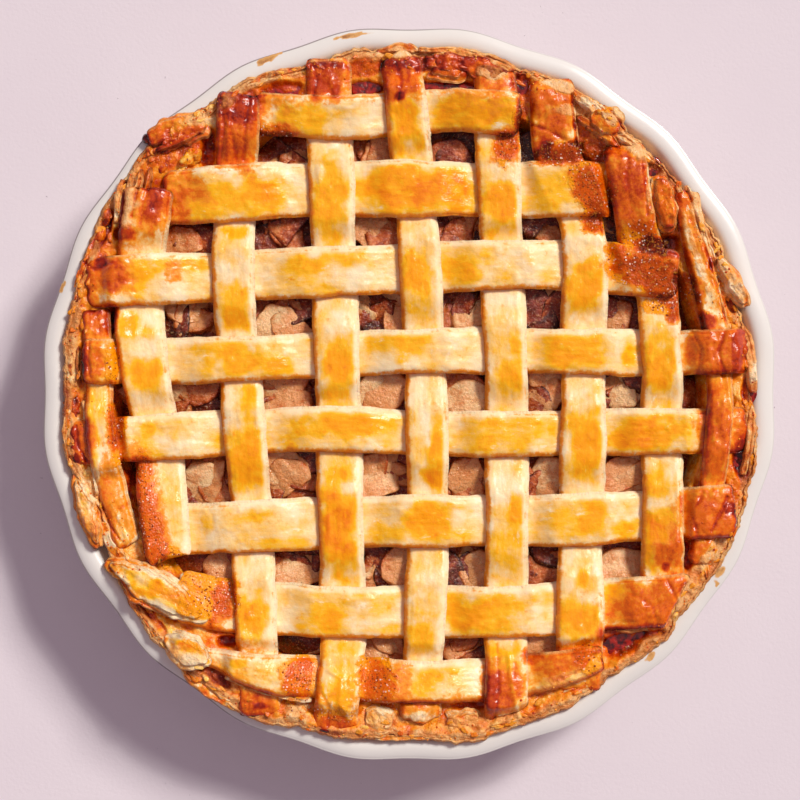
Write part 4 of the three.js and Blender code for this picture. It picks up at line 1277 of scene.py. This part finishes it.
def dish(material):
    def shaped(radius, height, angle):
        soft = 0.06 * noise(np.cos(angle) * 30, np.sin(angle) * 30, height / 4, 9, 2) - 0.06
        return radius + scallop_at(height, angle) + soft * (height > 5), height

    def paint(radius, height, angle):
        stain = np.zeros(radius.shape)
        ragged = 0.4 * noise(np.cos(angle) * 137, np.sin(angle) * 137, radius, 2, 58, 2)
        for place, reach, long, wide in STAINS:
            turn = angle - math.radians(place)
            away = np.hypot(radius * np.sin(turn) / long, (radius - reach) / wide) + 10 * (np.cos(turn) < 0)
            stain = np.maximum(stain, 0.8 * ease(away + ragged, 1.4, 0.6) * (height > 40))
        # A grey line on the lip's outer edge: partly thin glaze, partly painted shade, darkest on the side
        # away from the light.
        worn_and_shaded = ease(height, 48.15, 47.8) * (height > 46.3) * (radius > 138)
        worn_and_shaded = worn_and_shaded * (0.4 + 0.6 * ease(np.cos(angle - LIP_SHADE_FROM), -0.2, 0.6))
        return {"bake": stain, "cut": worn_and_shaded}

    shape = Shape()
    turned(shape, dish_profile(), DISH_STEPS, shaped, paint)
    dress(shape.build("dish_glazed", material), "dish_glaze", "dish")


# Where the case's outer edge departs from its waves: angle, how far out, and how wide in degrees.
RIM_BUMPS = [
    (240, 2.2, 7), (45, -2.6, 4), (90, -1.2, 7), (204, -3.0, 7), (285, 2.3, 12), (226, -0.6, 6),
    (264, -1.2, 7), (138, 0.8, 10), (24, 0.6, 3), (214, 0.5, 3), (312, 1.6, 8),
]
RIM_LAYERS = [0.9, 2.0, 3.3]  # steps down between layers of dough, as distances in from the edge
POOL_DEPTH = 2.4
HOLLOW_DEPTH = 3.5
CASE_STEPS = 1350
EDGE_ROWS = 12
EDGE_FOOT = 46
TOP_ROWS = 44
EDGE_LEAN = 1.3  # how far in the outer edge leans
EDGE_RISE = 1.4  # how far the outer edge stands above the bed
TOP_INSIDE = 114
STAND = {"most": 1.7, "turn": math.radians(240)}  # the edge stands highest in this direction


def rim_radius(angle):
    radius = RIM_REACH + 0 * angle
    for count, depth, crest in RIM_WAVES:
        radius = radius + depth * np.cos(count * (angle - math.radians(crest)))
    for place, out, width in RIM_BUMPS:
        away = (np.degrees(angle) - place + 180) % 360 - 180
        radius = radius + out * np.exp(-((away / width) ** 2))
    x, y = np.cos(angle) * 133, np.sin(angle) * 133
    radius = radius + 0.7 * noise(x, y, 0, 7, 21, 2) + 0.35 * noise(x, y, 0, 1.6, 22, 2)
    return np.minimum(radius, RIM_MOST + 0.9)


def case_lumps(x, y):
    ridged = 1 - 2 * np.abs(noise(x, y, 0, 5, 24, 2))
    grains = (0.3 + 0.4 * crumbled(x, y)) * noise(x, y, 0, 2.0, 25, 3)
    return 0.4 * ridged + 0.5 * noise(x, y, 0, 8, 29, 2) + grains


def layer_wander(x, y):
    return 0.9 * noise(x, y, 0, 14, 27, 2)


def rim_hollows(x, y):
    """Where the rim's juicy hollows and its empty ones are."""
    ragged = 0.25 * noise(x, y, 0, 5, 30, 2)
    return strongest(x, y, POOLS, ragged), strongest(x, y, HOLLOWS, ragged)


def stand_at(angle):
    return STAND["most"] * ease(np.cos(angle - STAND["turn"]), -0.2, 0.6)


def case_edge(share, reach, angle, foot, rise):
    """The flaky outer edge: radius and height for a share of the way up."""
    x, y = reach * np.cos(angle), reach * np.sin(angle)
    crumb = noise(x, y, 4 * share, 2.2, 26, 2)
    layer = np.abs(np.sin(share * math.pi * 3.5 + 2 * noise(x, y, 0, 20, 23)))
    radius = reach - EDGE_LEAN * share**3 - 0.55 * layer * (share > 0.05) + 0.3 * crumb
    return radius, foot + rise * share


def case_top(share, reach, angle, foot, rise):
    """The crumbly top: radius and height for a share of the way in."""
    radius = (reach - EDGE_LEAN) * (1 - share) + TOP_INSIDE * share
    x, y = radius * np.cos(angle), radius * np.sin(angle)
    full = bed_height(radius) - 0.4 + 1.8 * ease(radius, 119, 130)
    full = full + stand_at(angle) * ease(radius, 126, 131)
    from_edge = reach - radius
    away = from_edge + layer_wander(x, y)
    drop = sum(0.6 * ease(away, place + 0.35, place - 0.35) for place in RIM_LAYERS)
    juicy, empty = rim_hollows(x, y)
    pool = POOL_DEPTH * juicy + HOLLOW_DEPTH * empty
    rough = case_lumps(x, y) * ease(from_edge, 0.3, 3.5) - pool * ease(from_edge, 1.5, 4)
    height = np.minimum(full, foot + rise + 0.2 + 0.3 * from_edge)
    return radius, height - drop + rough - line_marks(x, y)[0]


def case(material):
    """The pastry case: hidden walls, a flaky outer edge in layers and a crumbly top."""
    wall = [wall_point(u, CLEARANCE) for u in np.linspace(0, 0.82, 6)]
    profile = [(0, FLOOR_TOP + CLEARANCE)]
    profile += [(r, FLOOR_TOP + CLEARANCE) for r in (30, 60, 89)]
    profile += wall
    first = len(profile) - 1
    profile += [(RIM_REACH, EDGE_FOOT)] * (EDGE_ROWS + TOP_ROWS)
    profile += CASE_INSIDE[::-1]
    profile += [(40, CASE_INSIDE[0][1]), (0, CASE_INSIDE[0][1])]

    def shaped(radius, height, angle):
        wave = scallop_at(EDGE_FOOT, angle)
        row = np.arange(radius.shape[0])[:, None] - first
        reach = rim_radius(angle) + wave
        foot = slope_height(reach - wave) + 0.05
        rise = bed_height(reach) + EDGE_RISE + stand_at(angle) - foot
        edge = case_edge(np.clip(row / EDGE_ROWS, 0, 1), reach, angle, foot, rise)
        top = case_top(np.clip((row - EDGE_ROWS) / (TOP_ROWS - 1), 0, 1), reach, angle, foot, rise)
        on_edge = (row >= 0) & (row < EDGE_ROWS)
        on_top = (row >= EDGE_ROWS) & (row < EDGE_ROWS + TOP_ROWS)
        radius = np.where(on_edge, edge[0], np.where(on_top, top[0], radius + scallop_at(height, angle)))
        height = np.where(on_edge, edge[1], np.where(on_top, top[1], height))
        return radius, under_ceiling(height)

    def paint(radius, height, angle):
        x, y = radius * np.cos(angle), radius * np.sin(angle)
        from_edge = rim_radius(angle) - radius
        outer = ease(from_edge + 1.2 * noise(x, y, 0, 6, 57, 2), 6.5, 2.5)
        away = layer_wander(x, y) + from_edge
        groove_juice_and_shade = sum(np.exp(-(((away - place) / 0.3) ** 2)) for place in RIM_LAYERS)
        relief = case_lumps(x, y)
        # The grooves between layers and the low places between lumps are painted browner, partly as juice,
        # partly as painted shade.
        bake = 0.42 + 0.26 * noise(x, y, height, 9, 28, 2) + 0.3 * groove_juice_and_shade - 0.22 * relief - 0.16 * outer
        # The pools' dark red is juice; the empty hollows' darkening is painted shade.
        pool = sum(rim_hollows(x, y))
        bake = np.maximum(bake, 0.85 * baked(x, y) - 0.2 * relief) + 0.5 * pool + line_marks(x, y)[1]
        juicy = 0.5 * ease(noise(x, y, 0, 12, 46, 2), 0.0, 0.45) * (1 - outer)
        cut = np.maximum(0.9 * outer, crumbled(x, y))
        syrup = np.maximum(glazed(x, y), juicy) * (1 - 0.6 * cut)
        return {"bake": bake, "wash": 0.5, "cut": cut, "syrup": syrup}

    shape = Shape()
    turned(shape, profile, CASE_STEPS, shaped, paint)
    piece = shape.build("bottom_crust_baked", material)
    dress(piece, "baked_crust", "bottom_crust")
    return piece


POOL_AROUND = 40
POOL_RINGS = 12
POOL_UNDER = [0.97, 0.5]  # shares out of the rings below a pool's shore


def pools(material):
    """Dark red juice standing in the hollows of the rim, level and thin at its shore."""
    shape = Shape()
    around = circle(POOL_AROUND)
    share = np.concatenate([np.linspace(0.08, 1, POOL_RINGS), POOL_UNDER])[:, None]
    under = np.arange(len(share))[:, None] >= POOL_RINGS
    for k, (px, py, long, wide, turn, _) in enumerate(POOLS):
        cx, cy = to_mm(px, py)
        ragged = 1.15 + 0.22 * noise(np.cos(around) * 3, np.sin(around) * 3, 9 * k, 2, 47, 2)
        u = share * ragged * np.cos(around) * long * MM_PER_PIXEL
        v = share * ragged * np.sin(around) * wide * MM_PER_PIXEL
        x, y = placed(cx, cy, u, v, math.radians(turn))
        level = float(bed_at(cx, cy)) - 1.25 + 0.12 * noise(x, y, 0, 2.4, 48, 2)
        z = level - 0.35 * share**6 * (1 - under) - 2.2 * under
        ends = [(cx, cy, float(z[0].mean())), (cx, cy, float(z[-1].mean()))]
        shape.tube(np.stack([x, y, z], -1), {}, ends)
    dress(shape.build("juice_pools", material), "apple_filling")


# Filling

def stream(start):
    """The part's own repeatable stream of numbers from 0 to 1."""
    state = start
    while True:
        state = (state * 1664525 + 1013904223) % 4294967296
        yield state / 4294967296


def turn_about(points, axis, angle):
    c, s = math.cos(angle), math.sin(angle)
    a, b = [(1, 2), (2, 0), (0, 1)][axis]
    moved = points.copy()
    moved[..., a] = c * points[..., a] - s * points[..., b]
    moved[..., b] = s * points[..., a] + c * points[..., b]
    return moved


def window_centres(uprights, crosses):
    """The middles of the lattice's openings over the filling."""
    centres = []
    for i in range(len(uprights) - 1):
        for j in range(len(crosses) - 1):
            x = y = 0.0
            for _ in range(12):
                x = float(uprights[i].line(y) + uprights[i + 1].line(y)) / 2
                y = float(crosses[j].line(x) + crosses[j + 1].line(x)) / 2
            if math.hypot(x, y) < FILLING_REACH:
                centres.append((x, y))
    return centres


PIECE_ROWS = 20
PIECE_AROUND = 20
# Each form's squareness, where less is squarer, and how bluntly and closely it closes at its ends.
ROUND_SLICE = (0.22, 14, 0.36)
FLAT_SLICE = (0.12, 20, 0.32)


def apple_piece(shape, size, bend, angles, x, y, sink, tone, number, form=ROUND_SLICE):
    """A slice (bent) or chunk, turned by three angles, with its top sunk below the lattice's bed."""
    square, blunt, close = form
    u = np.linspace(-1, 1, PIECE_ROWS + 2)[1:-1]
    v = circle(PIECE_AROUND)
    c, s = np.cos(v), np.sin(v)
    across = np.sign(c) * np.abs(c) ** square
    up = np.sign(s) * np.abs(s) ** square
    closing = (1 - np.abs(u) ** blunt) ** close
    thin = 1 - (0.45 if bend else 0.12) * u * u
    wedge = 1 - 0.35 * across if form is FLAT_SLICE else 1 + 0 * across
    px = np.repeat(u[:, None], PIECE_AROUND, 1) * size[0] / 2
    py = (thin * closing)[:, None] * across * size[1] / 2 - bend * size[1] * (u * u)[:, None]
    pz = closing[:, None] * (up * wedge)[None, :] * size[2] / 2
    ends = np.array([[-size[0] / 2, -bend * size[1], 0], [size[0] / 2, -bend * size[1], 0]])
    every = np.concatenate([np.stack([px, py, pz], -1).reshape(-1, 3), ends])
    rough = noise(every[:, 0], every[:, 1], every[:, 2] + 31 * number, 5, 41, 3)
    every *= (1 + 0.1 * rough)[:, None]
    every[:, 2] += 0.5 * noise(every[:, 0] / 2, every[:, 1], 17 * number, 2.2, 40, 3)
    for axis, angle in enumerate(angles):
        every = turn_about(every, axis, angle)
    every += (x, y, float(bed_at(x, y)) - sink - every[:, 2].max())
    pale = tone + 0.14 * noise(every[:, 0], every[:, 1], every[:, 2], 5, 42, 2)
    border = np.maximum(ease(np.abs(c), 0.3, 0.85)[None, :], ease(np.abs(u), 0.72, 0.98)[:, None])
    rings = every[:-2].reshape(*px.shape, 3)
    values = {"tone": pale[:-2].reshape(px.shape) - 0.26 * border}
    shape.tube(rings, values, every[-2:], rings + (0, 0, 37.0 * number))


SLICE_TONES = [0.16, 0.36, 0.5, 0.64, 0.85]
CHUNK_TONES = [0.5, 0.7, 0.95]
# Pieces that are pale or dark in the photograph: pixel place, turn and tone.
PLACED_PIECES = [
    (268, 326, 1.2, 1.05), (385, 392, 0.9, 0.82), (466, 398, 0.1, 1.0), (466, 478, 1.9, 0.86),
    (620, 388, 1.7, 1.1), (546, 478, 1.5, 0.95), (204, 482, 1.3, 0.84), (286, 475, 0.6, 0.8),
    (374, 482, 0.2, 0.9), (286, 402, 0.1, 0.8), (471, 312, 0.3, 0.95), (545, 398, 0.8, 0.8),
    (620, 475, 0.4, 0.72), (289, 330, 2.4, 0.9), (296, 572, 0.2, 0.9), (224, 564, 0.3, 0.85),
    (478, 574, 1.2, 0.85), (622, 566, 0.2, 0.95), (400, 566, 0.9, 0.8), (544, 640, 0.1, 0.85),
    (398, 318, 1.4, 0.8), (178, 242, 0.3, 0.7), (546, 366, 0.2, 0.9), (196, 486, 1.5, 1.1),
    # The piece at (532, 148), with a tone below 0, is painted shade: a dark piece where a deep hole lies in
    # shadow.
    (532, 148, 0.4, -0.1), (172, 326, 1.5, 0.1), (304, 458, 0.4, 0.16), (480, 484, 1.5, 0.95),
    (370, 396, 1.4, 1.15), (196, 246, 1.2, 0.3), (305, 302, 0.5, 0.2), (456, 306, 1.2, 0.25),
    (640, 366, 1.3, 0.2), (560, 308, 1.0, 0.3), (386, 230, 0.2, 0.5),
]


CORE_STEPS = 400
CORE_ROWS = 90
CORE_REACH = 104
CORE_INSET = CLEARANCE + 0.3


def filling_core(material):
    """The heap's core, with relief on its top."""
    corners = [(r - CORE_INSET, z + CLEARANCE) for r, z in CASE_INSIDE]
    profile = [(0, corners[0][1]), *corners[:-1], (corners[-1][0] - 1.5, corners[-1][1] - 3.5)]
    profile += [(r, float(bed_height(r)) - CORE_SINK) for r in np.linspace(CORE_REACH, 1, CORE_ROWS)]
    profile += [(0, float(bed_height(0)) - CORE_SINK)]

    def shaped(radius, height, angle):
        x, y = radius * np.cos(angle), radius * np.sin(angle)
        top = np.arange(radius.shape[0])[:, None] >= len(corners)
        lumps = 1.5 * noise(x, y, 0, 11, 43, 2) + 0.55 * noise(x, y, 0, 3, 44, 3)
        return radius, height + np.where(top, lumps, 0)

    def paint(radius, height, angle):
        x, y = radius * np.cos(angle), radius * np.sin(angle)
        return {"tone": 0.22 + 0.25 * noise(x, y, 0, 8, 45, 2)}

    core = Shape()
    turned(core, profile, CORE_STEPS, shaped, paint)
    dress(core.build("apple_filling_core", material), "apple_filling", "apple_filling")


def filling_pieces(material, uprights, crosses):
    """The part's own slices and chunks, broad thin slices over them, and the placed ones."""
    shape = Shape()
    draw = np.random.default_rng(SEED)
    numbers = stream(SEED)
    count = itertools.count()
    for x, y in window_centres(uprights, crosses):
        inward = min(1, SLICE_REACH / math.hypot(x, y))
        x, y = x * inward, y * inward
        size = (17 + 8 * next(numbers), 9 + 4 * next(numbers), 8)
        turn = math.pi * next(numbers)
        angles = [(next(numbers) - 0.5) * 0.6, (next(numbers) - 0.5) * 0.6, turn]
        sink = PIECE_SINK + 1.6 * next(numbers)
        apple_piece(shape, size, 0.45, angles, x, y, sink, draw.choice(SLICE_TONES), next(count))
        if next(numbers) < CHUNK_SHARE:
            cube = [8 + 4 * next(numbers) for _ in range(3)]
            shift = 7 * (-1 if next(numbers) < 0.5 else 1)
            angles = [(next(numbers) - 0.5) * 0.7, (next(numbers) - 0.5) * 0.7, turn]
            sink = PIECE_SINK + 1.6 * next(numbers)
            apple_piece(shape, cube, 0, angles, x + shift, y, sink, draw.choice(CHUNK_TONES), next(count))
        for _ in range(THIN_SLICES):
            size = (draw.uniform(16, 26), draw.uniform(11, 17), draw.uniform(3.5, 5))
            angles = [draw.uniform(-0.42, 0.42), draw.uniform(-0.3, 0.3), draw.uniform(0, 2 * math.pi)]
            dx, dy = draw.uniform(-8, 8, 2)
            tone = draw.choice(SLICE_TONES)
            sink = draw.uniform(0.8, 2.4)
            apple_piece(shape, size, 0.25, angles, x + dx, y + dy, sink, tone, next(count), FLAT_SLICE)
    for px, py, turn, tone in PLACED_PIECES:
        size = (draw.uniform(17, 22), draw.uniform(12, 15), 5)
        angles = [draw.uniform(-0.25, 0.25), draw.uniform(-0.25, 0.25), turn]
        apple_piece(shape, size, 0.15, angles, *to_mm(px, py), 0.0, tone, next(count), FLAT_SLICE)
    piece = shape.build("apple_pieces", material)
    dress(piece, "apple_filling")
    return piece


# Crumbs, flakes and bubbles, each dropped on to what lies below it

class Ground:
    """Finds the highest surface of finished pieces under a place."""

    def __init__(self, pieces):
        graph = bpy.context.evaluated_depsgraph_get()
        self.trees = [BVHTree.FromObject(piece, graph) for piece in pieces]

    def top(self, x, y):
        start = Vector((x * MM, y * MM, 0.1))
        down = Vector((0, 0, -1))
        hits = [tree.ray_cast(start, down)[0] for tree in self.trees]
        heights = [hit.z / MM for hit in hits if hit is not None]
        return max(heights) if heights else None


def pebble(shape, draw, x, y, z, size, flat, around, values):
    """A small uneven lump: size is its radius and flat its height for that."""
    v = circle(around)
    uneven = draw.uniform(0.75, 1.25, (3, around))
    heights = np.array([-0.6, 0.0, 0.6])[:, None] * size * flat
    widths = np.array([0.75, 1.0, 0.75])[:, None] * uneven * size
    rings = np.stack([x + widths * np.cos(v), y + widths * np.sin(v), z + heights + 0 * widths], -1)
    tip = 0.85 * size * flat
    shape.tube(rings, values, [(x, y, z - tip), (x, y, z + tip)])


CRUMBS = 420
FLAKES = 130
FLAKE_AROUND = 11
FLAKE_RINGS = [(0.6, -0.25), (1.0, -0.2), (1.0, 0.05), (0.6, 0.15)]  # share of its width, and height
BUBBLES_PER_MM2 = 0.3


def rim_place(draw, inset, spread):
    """A random place near the crust's edge, and its angle."""
    angle = draw.uniform(0, 2 * math.pi)
    radius = float(rim_radius(np.array(angle))) - inset - abs(draw.normal(0, spread))
    return radius * math.cos(angle), radius * math.sin(angle), angle


def crumbs(material, ground):
    draw = np.random.default_rng(9)
    shape = Shape()
    for _ in range(CRUMBS):
        x, y, _ = rim_place(draw, 0.8, 5)
        size = draw.uniform(0.2, 0.5)
        z = ground.top(x, y)
        brown = draw.uniform(0.3, 0.9)
        if z is not None and z < CEILING - 1:
            pebble(shape, draw, x, y, z + 0.2 * size, size, 0.8, 7, {"bake": brown, "wash": 0.5})
    dress(shape.build("crust_crumbs", material), "baked_crust")


def flakes(material, ground):
    """Thin torn plates of crust that stand off the rim at small angles."""
    draw = np.random.default_rng(12)
    shape = Shape()
    v = circle(FLAKE_AROUND)
    for _ in range(FLAKES):
        x, y, angle = rim_place(draw, 1.2, 3.2)
        z = ground.top(x, y)
        long, wide = draw.uniform(1.0, 2.8), draw.uniform(0.5, 1.2)
        uneven = draw.uniform(0.7, 1.2, FLAKE_AROUND)
        turn = angle + math.pi / 2 + draw.normal(0, 0.35)
        lean = draw.uniform(-0.35, 0.35)
        brown = float(baked(np.array([x]), np.array([y]))[0]) * 0.8 + draw.uniform(-0.1, 0.15)
        if z is None or z > CEILING - 1.5:
            continue
        u = np.cos(v) * long * uneven
        w = np.sin(v) * wide * uneven
        rings = []
        for width, rise in FLAKE_RINGS:
            px, py = placed(x, y, u * width, w * width, turn)
            rings.append(np.stack([px, py, z + 0.2 + rise + lean * w * width + 0.2 * np.sin(u)], -1))
        shape.tube(np.stack(rings), {"bake": brown, "wash": 0.5, "cut": 0.25})
    dress(shape.build("crust_flakes", material), "baked_crust")


def bubbles(material, ground):
    """Small round bubbles of dried juice on the glazed dough."""
    draw = np.random.default_rng(15)
    shape = Shape()
    for px, py, long, wide, turn, strength in GLAZED:
        area = math.pi * long * wide * MM_PER_PIXEL**2
        for _ in range(int(area * BUBBLES_PER_MM2 * strength)):
            u, v = draw.normal(0, 0.55, 2) * MM_PER_PIXEL
            x, y = placed(*to_mm(px, py), u * long, v * wide, math.radians(turn))
            size = draw.uniform(0.15, 0.45)
            if float(glazed(np.array([x]), np.array([y]))[0]) < 0.4:
                continue
            z = ground.top(x, y)
            if z is not None and z < CEILING - 1:
                pebble(shape, draw, x, y, z, size, 0.7, 8, {})
    dress(shape.build("juice_bubbles", material), "apple_filling")


# Stage

LENS = 100
SENSOR = 36
FLOOR_SIDE = 5.0
# Lights by name: a place they shine from, softness in degrees, power and colour.
SUNS = {
    "key": ((0.66, 0.64, 0.95), 14, 2.7, (1.0, 0.97, 0.93)),
    "glint": ((0.62, 0.66, 1.0), 3, 0.45, (1.0, 0.98, 0.95)),
    "fill": ((0.1, 0.5, 1.5), 60, 0.25, (1.0, 0.96, 1.0)),
}
ROOM_COLOUR = (1.0, 0.76, 0.96, 1)
ROOM_POWER = 0.26


def stage(material):
    mesh = bpy.data.meshes.new("floor")
    corners = [(x * FLOOR_SIDE / 2, y * FLOOR_SIDE / 2, 0) for x, y in ((-1, -1), (1, -1), (1, 1), (-1, 1))]
    mesh.from_pydata(corners, [], [(0, 1, 2, 3)])
    attribute = mesh.attributes.new("lay", "FLOAT_VECTOR", "POINT")
    attribute.data.foreach_set("vector", [value / MM for corner in corners for value in corner])
    mesh.materials.append(material)
    floor = bpy.data.objects.new("floor", mesh)
    bpy.context.scene.collection.objects.link(floor)


def sun(name, place, spread, power, colour):
    """Even light from the side of place, with shadows as soft as spread in degrees."""
    data = bpy.data.lights.new(name, "SUN")
    data.angle = math.radians(spread)
    data.energy = power
    data.color = colour
    lamp = bpy.data.objects.new(name, data)
    lamp.location = place
    lamp.rotation_euler = (-Vector(place)).to_track_quat("-Z", "Y").to_euler()
    bpy.context.scene.collection.objects.link(lamp)


def lights_and_camera():
    scene = bpy.context.scene
    scene.view_settings.view_transform = "Standard"
    for name, settings in SUNS.items():
        sun(name, *settings)
    world = bpy.data.worlds.new("soft_room")
    world.use_nodes = True
    background = world.node_tree.nodes["Background"]
    background.inputs["Color"].default_value = ROOM_COLOUR
    background.inputs["Strength"].default_value = ROOM_POWER
    scene.world = world
    data = bpy.data.cameras.new("camera")
    data.lens = LENS
    data.sensor_width = SENSOR
    camera = bpy.data.objects.new("camera", data)
    across = PHOTO_PIXELS * MM_PER_PIXEL * MM
    height = LIP_CREST[1] * MM + across * LENS / SENSOR
    x = (PHOTO_PIXELS / 2 - PIE_PIXEL[0]) * MM_PER_PIXEL * MM
    y = (PIE_PIXEL[1] - PHOTO_PIXELS / 2) * MM_PER_PIXEL * MM
    camera.location = (x, y, height)
    scene.collection.objects.link(camera)
    scene.camera = camera


glaze = glaze_look()
strip_dough = dough_look("lattice_dough", 0.1)
fold_dough = dough_look("folded_dough", 0.3)
crust_dough = dough_look("crust_dough", 0.5)
apple = apple_look()
dish(glaze)
crust = case(crust_dough)
uprights, crosses, strips = lattice(strip_dough)
pressed_on = [edge_fold(k, fold_dough) for k in range(len(FOLDS))]
pressed_on += [ribbons(fold_dough), knobs(crust_dough)]
pools(syrup_look("dark_juice", "3c0402", "a81c06"))
filling_core(apple)
heap = filling_pieces(apple, uprights, crosses)
ground = Ground([crust, heap, *strips, *pressed_on])
crumbs(crust_dough, ground)
flakes(crust_dough, ground)
bubbles(syrup_look("amber_juice", "8a2c04", "c05a10"), ground)
stage(floor_look())
lights_and_camera()
